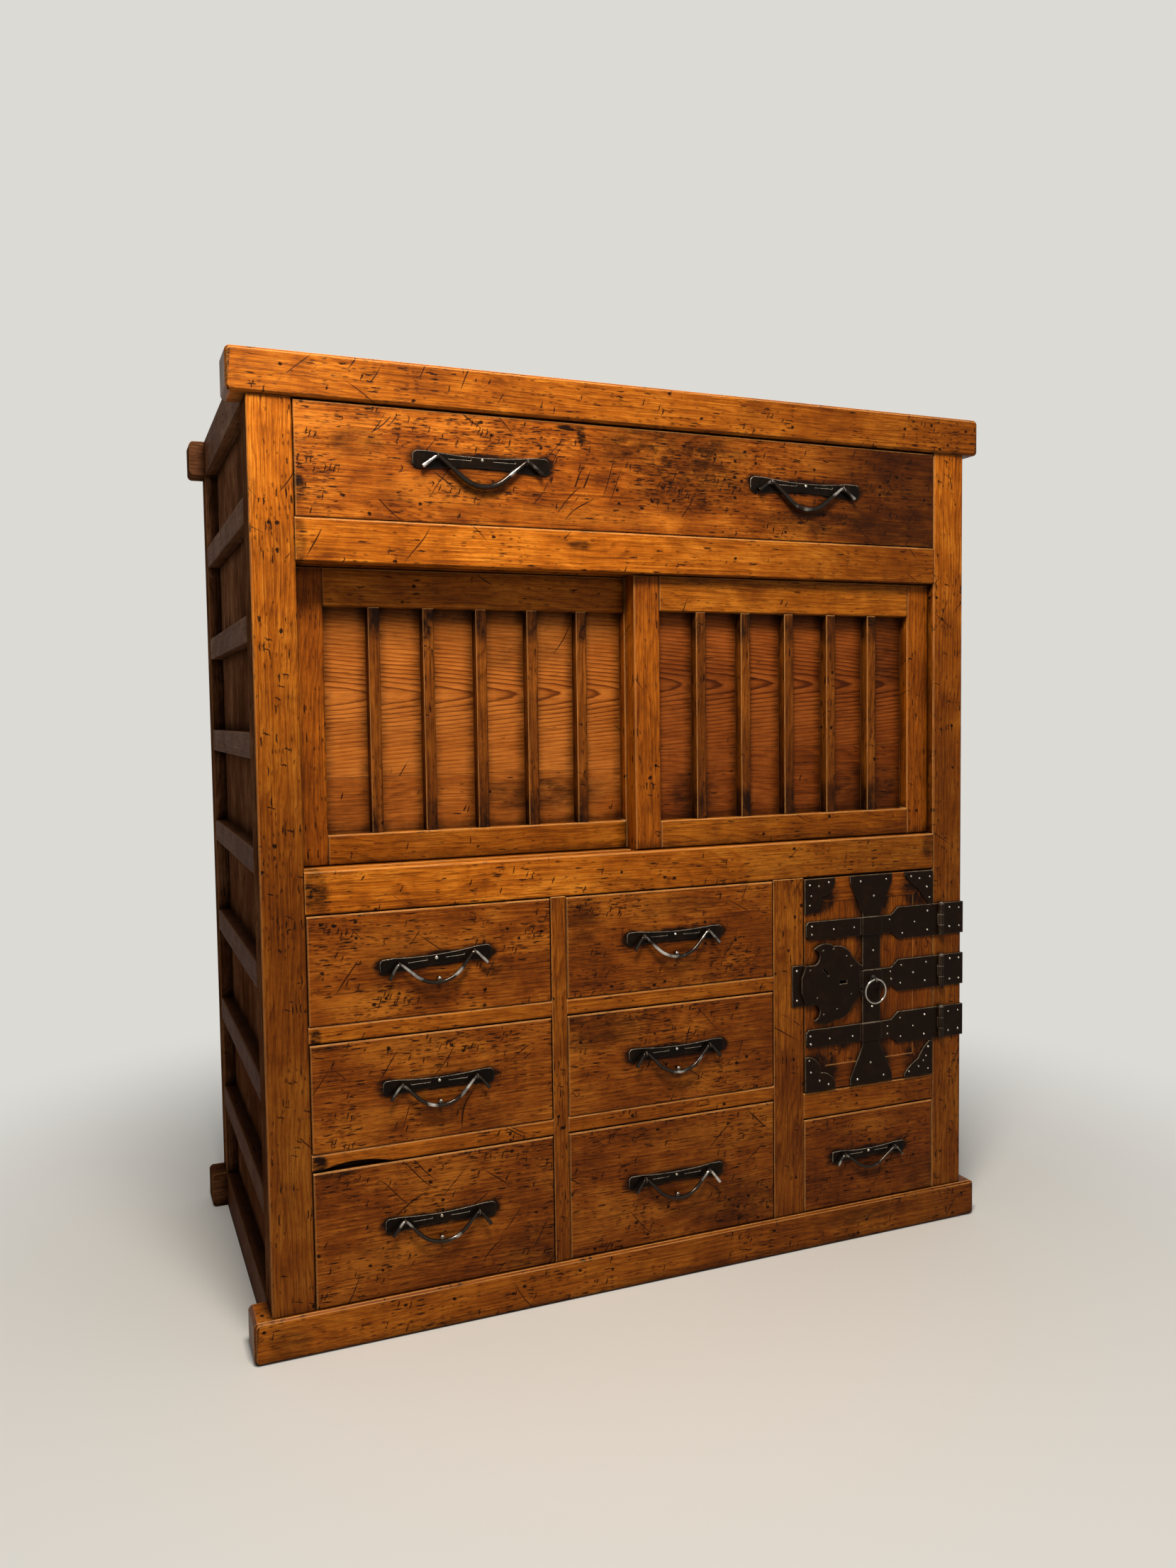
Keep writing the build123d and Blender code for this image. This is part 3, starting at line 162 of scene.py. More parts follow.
def lacquered_wood(name, grain, tones, shift=(0, 0, 0), pitch=3.0, figure=0.5, heart=None, streaks=1.0,
                   patches=1.0, pores=0.6, dented=0.5, scored=0.5, wear_and_highlight=1.0, bare_and_highlit="#ffb668", grime_and_shade=0.9,
                   gloss=0.38, sheen=0.06, shade=down_and_right, stains_and_shade=(), bruises=(), holes=(), thinned_and_lit=()):
    """Old lacquered timber, deep and warm under a hand-rubbed gloss. The year rings are sqrt(height squared +
    depth squared) + taper times length from a heart line, or slanting planes, divided by their pitch. The tone
    is the weighed sum of rings, fibres, broad streaks and clouds, and wear and marks lie over it as coats, with
    painted shade and painted highlights among them."""
    material, node = begun(name)
    light, middle, dark = tones
    place, space = in_millimetres(node, grain, shift)

    wander = mottle(node, space, 260, 70, 70, 3.0)
    if heart:
        level, depth, taper = heart
        along = node("SeparateXYZ", (space,))
        height = node("Math SUBTRACT", (along.node.outputs["Z"], level))
        height = node("Math MULTIPLY_ADD", (height, height, depth ** 2))
        height = node("Math POWER", (height, 0.5))
        ragged_rings = mottle(node, space, 46, 14, 10, 3.0, 0.6)
        drift = weighed(node, height, ((along, taper), (wander, 9.0), (ragged_rings, 2.2)))
    else:
        drift = node("VectorMath DOT_PRODUCT", (space, (0.02, 0.9, 0.42)), out="Value")
        drift = weighed(node, drift, ((wander, 36.0),))
    ring = node("Math FRACT", (node("Math DIVIDE", (drift, pitch)),))
    late = node("ValToRGB", (ring,), stops=((0.0, (0.9,) * 4), (0.10, (0.15,) * 4), (0.60, (0.35,) * 4),
                                            (0.94, (1.0,) * 4)))
    if heart:
        late = node("Math MULTIPLY", (late, node("MapRange", (height, 24.0, 80.0, 1.0, 0.5))))
    rings = node("MapRange", (late, 0.66, 0.96))
    # Real fibres and pores are 0.1 to 0.3 mm wide. They are drawn 1.2 to 2.4 mm wide, so that they show.
    fibre = mottle(node, space, 110, 2.2, 1.3, 4.0, 0.7)
    line = node("MapRange", (mottle(node, space, 60, 2.4, 1.7, 3.0, 0.6), 0.55, 0.63))
    pore = node("MapRange", (mottle(node, space, 14, 1.4, 1.2, 2.0, 0.7), 0.58, 0.66))
    broad = mottle(node, space, 170, 80, 95, 3.0, 0.6, 0.4)
    cloud = mottle(node, space, 40, 34, 30, 5.0, 0.66, 0.3)
    weights = ((late, 0.30 * figure), (fibre, 0.75 * streaks), (broad, 0.60 * patches), (cloud, 0.55 * patches))
    tone = weighed(node, 0.5 - sum(weight for _, weight in weights) / 2, weights)
    paint = node("ValToRGB", (tone,), stops=((0.26, linear(light)), (0.50, linear(middle)), (0.78, linear(dark))))

    # Marks: ticks along and across the grain, dents and insect holes, flecks, and long scratches.
    crowd = mottle(node, space, 80, 80, 60, 3.0, 0.6)
    pitted = weighed(node, crowd, [(spot(node, place, *hole), 0.85) for hole in holes])
    bruised = weighed(node, crowd, [(spot(node, place, *bruise), 0.28) for bruise in bruises])
    jitter = node("Mapping", {"Vector": space, "Scale": (1 / 6, 1 / 6, 1 / 4)})
    jitter = node("TexNoise", {"Vector": jitter, "Scale": 1.0, "Detail": 3.0, "Roughness": 0.7}, out="Color")
    ragged = node("VectorMath MULTIPLY_ADD", (jitter, (6.0, 3.4, 3.0), space))
    tick = nicks(node, ragged, 32, 5.0, 0.12, 0.20, 0.20 * dented, bruised)
    dent = nicks(node, ragged, 14, 12, 0.12, 0.19, 0.05 * dented, pitted)
    fleck = nicks(node, ragged, 11, 3.6, 0.18, 0.32, 0.20 * dented, bruised)
    steep = node("Mapping", {"Vector": ragged, "Location": (300, 0, 70), "Rotation": (0, radians(72), 0)})
    knock = nicks(node, steep, 26, 4.6, 0.12, 0.20, 0.09 * dented, bruised)
    tick = node("Math MAXIMUM", (tick, knock))
    bend = node("Mapping", {"Vector": space, "Scale": (1 / 70,) * 3})
    bend = node("TexNoise", {"Vector": bend, "Scale": 1.0, "Detail": 0.0}, out="Color")
    bent = node("VectorMath MULTIPLY_ADD", (bend, (30, 30, 30), space))
    scratch = 0.0
    for lean, begin in ((64, 0), (47, 400), (-40, 900)):
        leaned = node("Mapping", {"Vector": bent, "Location": (begin, 0, begin),
                                  "Rotation": (0, radians(lean), 0)})
        cut = nicks(node, leaned, 470, 14, 0.030, 0.058, 0.32 * scored, crowd)
        scratch = node("Math MAXIMUM", (cut, scratch))

    handled = node("MapRange", (mottle(node, space, 90, 60, 55, 5.0, 0.68, 0.5), 0.53, 0.70))
    # Painted shade, standing in for the lamp's falloff: the piece darkens along one way.
    way, begins, complete, darkest = shade
    along_way = node("VectorMath DOT_PRODUCT", (place, way), out="Value")
    painted_shade_amount = node("MapRange", (along_way, begins, complete, 0.0, darkest))
    fuzz = node("MapRange", (mottle(node, space, 34, 20, 13, 6.0, 0.72), 0.36, 0.62, 0.25, 1.5))
    # A real arris is rubbed about 1 mm wide. It is drawn 2 mm wide, so that it shows.
    rubbed_and_highlit, downward_edge, soft = lit_and_rubbed_arris(node, 0.0020)
    rubbed_and_highlit = node("Math MULTIPLY", (rubbed_and_highlit, node("MapRange", (cloud, 0.36, 0.56, 0.45, 1.0))))
    # Grime and painted shade: darker in corners, gaps and recesses, where ambient occlusion finds them.
    corner = node("AmbientOcclusion", {"Distance": 0.014}, out="AO", samples=4)
    dirt_and_shade = weighed(node, corner, ((fuzz, 0.18),))
    dirt_and_shade = node("MapRange", (dirt_and_shade, 0.62, 1.10, grime_and_shade, 0.0))
    coats = [(handled, 0.50 * patches, dark)]
    # Lighter places: thinner lacquer on the drawers, and a painted pool of light across the door panels.
    coats += [(spot(node, place, *where, fuzz=fuzz), strength, light) for *where, strength in reversed(thinned_and_lit)]
    # The dark brown coat after the rings is the painted shade.
    coats += [(line, 0.55 * streaks, dark), (rings, max(figure - 0.5, 0.0), dark), (painted_shade_amount, 1.0, "#341404"),
              (pore, pores, "#3a1806"), (fleck, 0.60, "#2b1004"), (tick, 0.92, "#1c0a03"),
              (scratch, 0.95, "#1e0b04"), (dent, 0.95, "#100602")]
    # Stains, and painted shade where a stain stands in for a shadow, as on the door panels' tops and the top
    # drawer's right end.
    coats += [(spot(node, place, *where, fuzz=fuzz), strength, "#1c0b03") for *where, strength in stains_and_shade]
    # Grime and painted shade under the lower arrises and in corners and gaps, then the upper arrises rubbed bare
    # and painted as highlights.
    coats += [(downward_edge, 0.85, "#1c0a03"), (dirt_and_shade, 1.0, "#120702"), (rubbed_and_highlit, wear_and_highlight, bare_and_highlit)]
    paint = layered(node, paint, coats)

    swell = mottle(node, space, 150, 30, 18, 2.0)
    height = weighed(node, 0.0, ((swell, 0.6), (fibre, 0.10), (late, 0.03), (pore, -0.08 * pores), (fleck, -0.10),
                                 (tick, -0.30), (scratch, -0.12), (dent, -0.60)))
    relief = node("Bump", {"Strength": 0.8, "Distance": 0.001, "Height": height, "Normal": soft})
    rough = weighed(node, gloss - 0.12, ((cloud, 0.24), (tick, 0.25), (dent, 0.3)))
    shader = node("BsdfPrincipled", {"Base Color": paint, "Roughness": rough, "Normal": relief,
                                     "Specular IOR Level": sheen})
    node("OutputMaterial", {"Surface": shader})
    return material


def finish(name, materials, choose=None):
    """Gives a CAD piece its materials. Where there are two, choose takes x, y and z of the middles of its faces,
    in millimetres, and says which take the second."""
    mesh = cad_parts[name].data
    mesh.materials.clear()
    for material in materials:
        mesh.materials.append(material)
    second = np.zeros(len(mesh.polygons), np.int32)
    if choose is not None:
        middles = np.zeros(len(mesh.polygons) * 3, np.float32)
        mesh.polygons.foreach_get("center", middles)
        second[:] = choose(*middles.reshape(-1, 3).T * 1000)
    mesh.polygons.foreach_set("material_index", second)


# The fronts glow amber. The posts and the upper and middle cross rails take a lighter copy of the frame's tones,
# which is painted light. The posts' sides share the brown lacquer of the chest's sides.
lit_frame_tones = ("#de8828", "#ae5c10", "#5a2706")
stile_tones = ("#c3731e", "#914b0e", "#4a1f05")
side_tones = ("#9a6c4b", "#68422a", "#361e11")
post_side = 457.9  # just inside a post's outer side
# Posts: painted shade darkens them towards the floor.
post_zelkova = lacquered_wood("lacquered_zelkova_post", "Z", lit_frame_tones, dented=0.7, wear_and_highlight=0.9,
                              shade=((0.1, 0.0, -1.0), -1.0, -0.55, 0.65))
brown_upright = lacquered_wood("brown_lacquered_post_side", "Z", side_tones, (60, 0, 9), dented=0.3, wear_and_highlight=0.4,
                               bare_and_highlit="#9a7350", gloss=0.6, sheen=0.0)
stile_zelkova = lacquered_wood("lacquered_zelkova_stile", "Z", stile_tones, (0, 50, 20), scored=0.35, wear_and_highlight=0.9)
for side, outward in (("left", -1), ("right", 1)):
    finish(f"front_post_{side}", [post_zelkova, brown_upright], lambda x, y, z: outward * x > post_side)
finish("divider_stiles", [stile_zelkova])

# Long front rails and the rails between the bays. Zelkova again, laid with its grain along, run past the posts
# with rounded ends, and the first surface that every tray and bale knocked against. Their sawn ends drank the
# lacquer, so they are darker.
frame_tones = ("#d07c22", "#a0540f", "#522205")
rail_end = 474.0  # where a long rail's rounded end begins
rail_ends = lacquered_wood("lacquered_zelkova_end_grain", "X", ("#8e5220", "#66390f", "#361a07"), pitch=2.4,
                           figure=1.2, wear_and_highlight=0.6, grime_and_shade=1.0)
rail_stains = {"bay_rails": [(-404, 207, 12, 14, 0, 1.2), (-404, 345, 8, 14, 0, 0.9)],
               "middle_cross_rail": [(-400, 503, 18, 34, 0, 0.8), (405, 510, 14, 24, 0, 0.6)],
               "upper_cross_rail": [(-408, 877, 12, 34, 0, 0.5), (-88, 884, 22, 7, 0, 0.6)],
               "base_front_rail": [(-440, 20, 30, 24, 0, 0.4), (300, 30, 90, 14, 0, 0.4)]}
# Of each rail: its shift, dents and colours, where its painted shade begins to darken it to the right, where that
# ends and how much, and its grime with painted shade in corners and gaps.
for name, shift, dented, tones, begins, complete, darkest, grime_and_shade in (
        ("top_front_rail", (0, 0, 0), 0.75, frame_tones, -0.40, 0.30, 0.38, 0.9),
        ("upper_cross_rail", (400, 0, 70), 0.45, lit_frame_tones, -0.05, 0.30, 0.52, 0.9),
        ("middle_cross_rail", (1340, 30, 20), 0.55, lit_frame_tones, -0.20, 0.30, 0.60, 0.5),
        ("base_front_rail", (1500, 0, 50), 1.0, frame_tones, -1.0, 0.50, 0.62, 0.9),
        ("bay_rails", (2100, 60, 0), 0.6, frame_tones, -0.80, 0.50, 0.50, 0.9)):
    rail_wood = lacquered_wood(f"lacquered_zelkova_{name}", "X", tones, shift, figure=0.4, dented=dented,
                               scored=0.45, grime_and_shade=grime_and_shade, shade=((1.0, 0.0, 0.0), begins, complete, darkest),
                               stains_and_shade=rail_stains.get(name, ()))
    finish(name, [rail_wood, rail_ends], lambda x, y, z: np.abs(x) > rail_end)

# Sides: wide thin boards let into grooves behind seven battens, with a rail above and below. All are under a dark
# brown lacquer that nobody handled, so it is even, and dust has taken its shine.
# Painted shade: the sides darken towards the floor.
side_shade = ((0.0, 0.0, -1.0), -0.95, -0.30, 0.70)
battens = lacquered_wood("brown_lacquered_battens", "Y", side_tones, figure=0.2, streaks=0.7, patches=0.6,
                         pores=0.3, dented=0.15, scored=0.2, wear_and_highlight=0.25, bare_and_highlit="#b08a66", gloss=0.5, sheen=0.004,
                         shade=side_shade)
side_boards = lacquered_wood("brown_lacquered_boards", "Z", ("#b9835c", "#7c5036", "#402515"), (10, 0, 90),
                             figure=0.4, streaks=0.9, pores=0.3, dented=0.1, scored=0.2, wear_and_highlight=0.1, grime_and_shade=0.7,
                             gloss=0.6, sheen=0.0, shade=side_shade)
finish("side_battens", [battens])
finish("side_rails", [battens])
finish("side_panels", [side_boards])

# Rear frame: two posts and two rails with the same joints as the front, but left rough from the saw and only
# stained, so brown and matt.
for name, grain, shift in (("rear_rails", "X", (90, 0, 0)), ("rear_posts", "Z", (30, 0, 0))):
    finish(name, [lacquered_wood(f"stained_{name}", grain, side_tones, shift, dented=0.4, wear_and_highlight=0.4, gloss=0.6,
                                 sheen=0.0)])


# Back: six plain paulownia boards laid across and nailed to the rear frame, gone grey with dust and dark along
# their joints, which dust and glue have packed, so no light comes through them. Painted shade darkens them where
# they meet other parts.
def paulownia(name, grain, light, dark, shift=(0, 0, 0)):
    """Plain unfinished paulownia: rings are height plus wander, divided by their pitch, with fibres and grey
    dust over them, and painted shade where corners and joints close them in. Its open grain gives a dry, matt
    face with no shine."""
    material, node = begun(name)
    _, space = in_millimetres(node, grain, shift)
    wander = mottle(node, space, 260, 50, 50, 3.0)
    drift = node("VectorMath DOT_PRODUCT", (space, (0.01, 0.5, 0.8)), out="Value")
    ring_pitch = 5.2
    drift = node("Math DIVIDE", (weighed(node, drift, ((wander, 34.0),)), ring_pitch))
    ring = node("ValToRGB", (node("Math FRACT", (drift,)),),
                stops=((0.0, (0.7,) * 4), (0.15, (0.1,) * 4), (0.95, (1.0,) * 4)))
    # Real fibres are about 0.2 mm wide. They are drawn 1.6 mm wide, so that they show.
    fibre = mottle(node, space, 90, 1.6, 1.6, 3.0)
    dust = mottle(node, space, 110, 60, 60, 4.0)
    tone = weighed(node, -0.02, ((ring, 0.26), (fibre, 0.34), (dust, 0.44)))
    paint = node("ValToRGB", (tone,), stops=((0.25, linear(light)), (0.75, linear(dark))))
    # Painted shade: darker where ambient occlusion finds corners and joints.
    corner = node("AmbientOcclusion", {"Distance": 0.03}, out="AO", samples=4)
    paint = layered(node, paint, ((node("MapRange", (corner, 0.4, 1.0, 0.6, 0.0)), 1.0, "#3a2817"),))
    height = weighed(node, 0.0, ((fibre, 0.6), (ring, 0.2)))
    relief = node("Bump", {"Strength": 0.5, "Distance": 0.0005, "Height": height})
    shader = node("BsdfPrincipled", {"Base Color": paint, "Roughness": 0.68, "Normal": relief})
    node("OutputMaterial", {"Surface": shader})
    return material


def placed(name, shown):
    """An object in the scene that shows a mesh, a lamp or a camera."""
    thing = bpy.data.objects.new(name, shown)
    bpy.context.scene.collection.objects.link(thing)
    return thing


def made(name, points, faces, material, body, smooth=True):
    """A mesh object from points in millimetres and faces, riding on its body."""
    mesh = bpy.data.meshes.new(name)
    mesh.from_pydata((points / 1000).tolist(), [], faces)
    mesh.polygons.foreach_set("use_smooth", [smooth] * len(faces))
    mesh.materials.append(material)
    mesh.update()
    piece = placed(name, mesh)
    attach(piece, body)
    return piece


def surface(name, grid, material, body, ringed=False):
    """A piece from a grid of points in millimetres, given as pieces, rows along and points around: quads join
    each point to the next around and along. A ringed grid closes on itself along, and any other has its two
    ends closed flat."""
    pieces, rows, around = grid.shape[:3]
    index = np.arange(rows * around).reshape(rows, around)
    if ringed:
        index = np.concatenate([index, index[:1]])
    turned = np.roll(index, -1, axis=1)
    quads = np.stack([index[:-1], turned[:-1], turned[1:], index[1:]], axis=-1).reshape(-1, 4)
    starts = np.arange(pieces) * rows * around
    faces = (quads + starts[:, None, None]).reshape(-1, 4).tolist()
    if not ringed:
        faces += (index[0, ::-1] + starts[:, None]).tolist() + (index[-1] + starts[:, None]).tolist()
    return made(name, grid.reshape(-1, 3), faces, material, body)


long_boards = paulownia("paulownia_long_boards", "X", "#a98761", "#6a4e33")
next_boards = paulownia("paulownia_next_boards", "X", "#97734f", "#593f28", (530, 40, 610))
back_foot, back_pitch, back_joint = 47.0, 162.8, 0.3
finish("back_boards", [long_boards, next_boards], lambda x, y, z: (z - back_foot) // back_pitch % 2 == 1)
# The packing: a four-cornered section carried along each joint from end to end.
packing_reach, packing_half, packing_front, packing_back = 411.0, 0.14, 210.0, 215.0
levels = (back_foot + back_pitch * np.arange(1, 6) - back_joint / 2)[:, None, None]
ends, deep = np.array([[-packing_reach], [packing_reach]]), np.array([packing_back] * 2 + [packing_front] * 2)
high = levels + np.array([-1, 1, 1, -1]) * packing_half
surface("back_joint_packing", np.stack(np.broadcast_arrays(ends, deep, high), axis=-1), next_boards, "cabinet")

# Top boards: three boards let into a rebate just below the rails, lacquered once, and dulled by what was
# stood on them. The middle one is cut from a darker board.
middle_board, half_board = 3.0, 70.4  # the middle board's centre line and half its width
outer_top = lacquered_wood("lacquered_top_boards", "X", ("#8a5424", "#643512", "#341a09"), (0, 0, 40), wear_and_highlight=0.3,
                           gloss=0.46)
middle_top = lacquered_wood("lacquered_middle_top_board", "X", ("#7c4a1e", "#572d0f", "#2d1608"), (700, 300, 90),
                            wear_and_highlight=0.3, gloss=0.46)
finish("top_boards", [outer_top, middle_top], lambda x, y, z: np.abs(y - middle_board) < half_board)

# Inner boards: shelves, partitions, dust boards and runners of plain paulownia, light and dry, nailed where no
# one looks.
deep_boards = paulownia("paulownia_deep_boards", "Y", "#ab8861", "#6c5035")
for name in ("shelf_boards", "bay_partitions", "dust_boards", "drawer_guides"):
    finish(name, [deep_boards])

# Drawers: a zelkova front lapped over a light paulownia box. Each front was cut from its own board, and each
# has gone black round its pull, where iron and damp hands worked into the lacquer.
front_back = -232.9  # just behind the lap of a drawer's front, where its box begins
# Of each drawer: half its plate's length; its pulls, each the middle of its eyes and how far its bail and its
# plate are out of level, in degrees; and its marks, each an ellipse's middle, half width and half height, then a
# turn and a strength for stains, some of which are painted shade, and a strength for places where the lacquer is
# thinned, and for the top drawer its painted shade.
drawers = {
    "left_drawer_high": (64, [(-269.15, 421.85, 5.0, 3.6)], dict(
        stains_and_shade=[(-205, 402, 16, 10, 0, 0.5), (-402, 500, 10, 30, 0, 0.7)],
        bruises=[(-382, 468, 52, 14), (-375, 447, 66, 12), (-290, 375, 90, 14), (-140, 450, 30, 50)],
        holes=[(-380, 460, 46, 26)], thinned_and_lit=[(-345, 378, 60, 24, 0.7), (-320, 440, 70, 30, 0.3)])),
    "left_drawer_middle": (64, [(-268.65, 283.25, 0, 0)], dict(
        stains_and_shade=[(-395, 334, 40, 6, 0, 0.5)],
        bruises=[(-380, 332, 60, 14), (-230, 320, 90, 18), (-380, 250, 30, 50)],
        thinned_and_lit=[(-290, 322, 100, 18, 0.55), (-350, 250, 50, 20, 0.4)])),
    "left_drawer_low": (64, [(-269.15, 128.05, -2.5, 0)], dict(
        stains_and_shade=[(-150, 70, 70, 40, 0, 0.35), (-390, 194, 40, 6, 0, 0.5)],
        bruises=[(-385, 180, 46, 26), (-200, 190, 90, 12)], thinned_and_lit=[(-340, 90, 60, 24, 0.4)])),
    "middle_drawer_high": (64, [(27.75, 423.75, 0, 0)], dict(
        stains_and_shade=[(-95, 452, 30, 60, 0, 0.45), (30, 458, 70, 16, 0, 0.35)],
        bruises=[(-60, 462, 60, 18), (110, 380, 50, 26)])),
    "middle_drawer_middle": (64, [(28.55, 282.85, 0, 0)], dict(
        stains_and_shade=[(-80, 320, 90, 34, 0, 0.45)], bruises=[(-40, 330, 90, 12)], thinned_and_lit=[(60, 250, 70, 14, 0.3)])),
    "middle_drawer_low": (64, [(26.75, 127.35, -2, 0)], dict(
        stains_and_shade=[(110, 80, 90, 40, 0, 0.35)], bruises=[(-60, 190, 80, 14)], thinned_and_lit=[(30, 174, 80, 16, 0.3)])),
    "small_drawer": (55, [(308.0, 113.95, 0, 0)], dict(
        stains_and_shade=[(395, 70, 40, 30, 0, 0.5)], bruises=[(240, 160, 40, 14)], thinned_and_lit=[(310, 146, 70, 12, 0.25)])),
    "top_drawer": (79, [(-205.4, 971.7, 0, 0), (214.3, 969.0, -1.6, -0.8)], dict(
        # The top drawer's painted shade darkens it towards its right end, where its broad third stain is painted
        # shade too.
        shade=((1.0, 0.0, 0.0), 0.02, 0.34, 0.72),
        stains_and_shade=[(60, 962, 110, 44, 0, 0.4), (30, 1000, 130, 40, 0, 0.6), (390, 962, 180, 110, 0, 0.45),
                (-98, 1016, 24, 5, 0, 1.3), (-86, 1008, 7, 13, 0, 1.3), (-345, 982, 40, 20, 0, 0.45),
                (230, 925, 120, 20, 0, 0.5), (-408, 930, 12, 20, 0, 0.9)],
        bruises=[(-205, 1000, 150, 26), (-205, 935, 100, 16), (60, 965, 110, 50), (-390, 950, 30, 60)],
        holes=[(30, 962, 46, 26), (112, 968, 52, 26), (-34, 944, 26, 14)],
        thinned_and_lit=[(-60, 918, 170, 14, 0.25), (-250, 935, 90, 20, 0.4)]))}
# The black round a pull, in ellipses: one behind the plate, one at each of its ends, and a faint one under the
# bail. Their values are falls below the eyes, reaches past or within the plate's ends, and half sizes.
plate_fall, plate_past, plate_high = 2, 12, 13
end_within, end_size = 6, (17, 15)
bail_fall, bail_share, bail_high = 31, 0.5, 8
black, faint = 1.1, 0.5
for number, (name, (half, pulls, marks)) in enumerate(drawers.items()):
    soot = [(x, z - plate_fall, half + plate_past, plate_high, radians(turn), black) for x, z, _, turn in pulls]
    for x, z, _, turn in pulls:
        along, rise = (half - end_within) * cos(radians(turn)), (half - end_within) * sin(radians(turn))
        soot += [(x + end * along, z - plate_fall + end * rise, *end_size, 0, black) for end in (-1, 1)]
    soot += [(x, z - bail_fall, half * bail_share, bail_high, radians(turn), faint) for x, z, turn, _ in pulls]
    front = lacquered_wood(f"lacquered_zelkova_{name}", "X", ("#cf7a24", "#944a0e", "#421a06"),
                           (97 * number, 31 * number, 253 * number), pitch=2.6, figure=0.35, patches=1.1,
                           pores=0.8, dented=0.9, scored=0.9, **{**marks, "stains_and_shade": marks["stains_and_shade"] + soot})
    finish(name, [front, deep_boards], lambda x, y, z: y > front_back)

# Sliding doors: a lacquered frame round a figured cedar panel, with five slats let in upright before it. The
# panels are sawn near the heart, so their rings run out in nested points, and the slats are black at the ends.
# The door frames take a gentler painted shade, down and to the right.
door_shade = (*down_and_right[:3], 0.25)
door_stile = 34.0  # a little more than a frame's upright is wide
door_uprights = lacquered_wood("lacquered_door_stiles", "Z", ("#bc6818", "#90490b", "#522205"), (0, 40, 10),
                               dented=0.35, scored=0.2, wear_and_highlight=0.8, shade=door_shade)
door_rails = lacquered_wood("lacquered_door_rails", "X", ("#c0721e", "#954f0d", "#522205"), (300, 40, 10),
                            dented=0.3, scored=0.2, wear_and_highlight=0.9, shade=door_shade)
slat_lines = (-321.7, -259.5, -197.2, -135.0, -72.7, 72.7, 135.0, 197.2, 259.5, 321.7)
slats = lacquered_wood("lacquered_slats", "Z", ("#a05a1a", "#723b0c", "#351604"), (0, 0, 40), dented=0.6,
                       scored=0.3, wear_and_highlight=0.9,
                       stains_and_shade=[(x, z, 30, 40, 0, 0.75) for z in (566, 806) for x in slat_lines])
panel_tones = {"left": ("#cd7a30", "#a5581a", "#5a2a0c"), "right": ("#ad5d22", "#823e10", "#421b06")}
# The first stain of each panel, a band along its top, is a painted shadow under the rail above, and the thinned
# places across each panel's middle are a painted pool of light.
panel_stains_and_shadow = {"left": [(-230, 822, 220, 34, 0, 0.55), (-120, 596, 110, 28, 0, 0.55),
                         (-150, 760, 90, 24, 0, 0.3)],
                "right": [(230, 822, 220, 34, 0, 0.55), (70, 590, 44, 44, 0, 0.6), (320, 590, 90, 40, 0, 0.6),
                          (360, 760, 70, 60, 0, 0.4)]}
panel_painted_light = {"left": [(-300, 700, 110, 44, 0.35), (-180, 690, 90, 34, 0.25)],
                 "right": [(60, 700, 60, 44, 0.35), (180, 690, 90, 30, 0.3)]}
# Of each door: its edges, the top of its panel's foot board, and the level of the tree's heart.
for side, low, high, foot_top, heart_level in (("left", -411.0, 16.65, 622.5, 714.0),
                                               ("right", -16.65, 411.0, 645.5, 724.0)):
    tones, stains_and_shade = panel_tones[side], panel_stains_and_shadow[side]
    upper = lacquered_wood(f"{side}_cedar_panel", "X", tones, pitch=4.6, figure=1.25, streaks=0.8,
                           heart=(heart_level, 12.0, 0.08), patches=0.6, pores=0.15, dented=0.03, scored=0.05,
                           wear_and_highlight=0.1, gloss=0.45, stains_and_shade=stains_and_shade, thinned_and_lit=panel_painted_light[side])
    lower = lacquered_wood(f"{side}_cedar_foot", "X", tones, (700, 9, 35), pitch=2.9, figure=0.45, patches=0.9,
                           pores=0.2, dented=0.2, scored=0.05, wear_and_highlight=0.1, gloss=0.45, stains_and_shade=stains_and_shade)
    finish(f"{side}_door_frame", [door_uprights, door_rails],
           lambda x, y, z: (x > low + door_stile) & (x < high - door_stile))
    finish(f"{side}_door_slats", [slats])
    finish(f"{side}_door_panel", [upper, lower], lambda x, y, z: z < foot_top)

# Safe door leaf: four mitred members round a flush field, of lacquered zelkova as the drawers are, less worn,
# and black round its ironwork.
leaf_x, leaf_z, leaf_member = (211.1, 409.9), (203.8, 477.7), 31.0
leaf_tones = ("#cc7420", "#964b0c", "#481f05")
leaf_soot = [(232, 455, 36, 32, 0, 1.1), (314, 448, 40, 42, 0, 1.0), (388, 455, 36, 32, 0, 1.1),
             (234, 230, 36, 36, 0, 1.1), (312, 228, 42, 38, 0, 1.0), (392, 230, 36, 34, 0, 1.0),
             (250, 343, 56, 58, 0, 0.8), (312, 340, 34, 190, 0, 0.6), (300, 403, 120, 15, 0, 0.7),
             (330, 333, 110, 14, 0, 0.7), (300, 262, 120, 14, 0, 0.7)]


def across_the_mitre(x, y, z):
    """The leaf's head and foot, whose grain runs across: nearer an end than a side, and within a member."""
    from_side = np.minimum(x - leaf_x[0], leaf_x[1] - x)
    from_end = np.minimum(z - leaf_z[0], leaf_z[1] - z)
    return (from_end < leaf_member - 0.1) & (from_end < from_side)


leaf_woods = [lacquered_wood(f"lacquered_zelkova_leaf_{way}", grain, leaf_tones, shift, dented=0.35, wear_and_highlight=0.4,
                             patches=0.8, stains_and_shade=leaf_soot)
              for way, grain, shift in (("upright", "Z", (0, 0, 20)), ("cross", "X", (40, 0, 0)))]
finish("safe_door_leaf", leaf_woods, across_the_mitre)


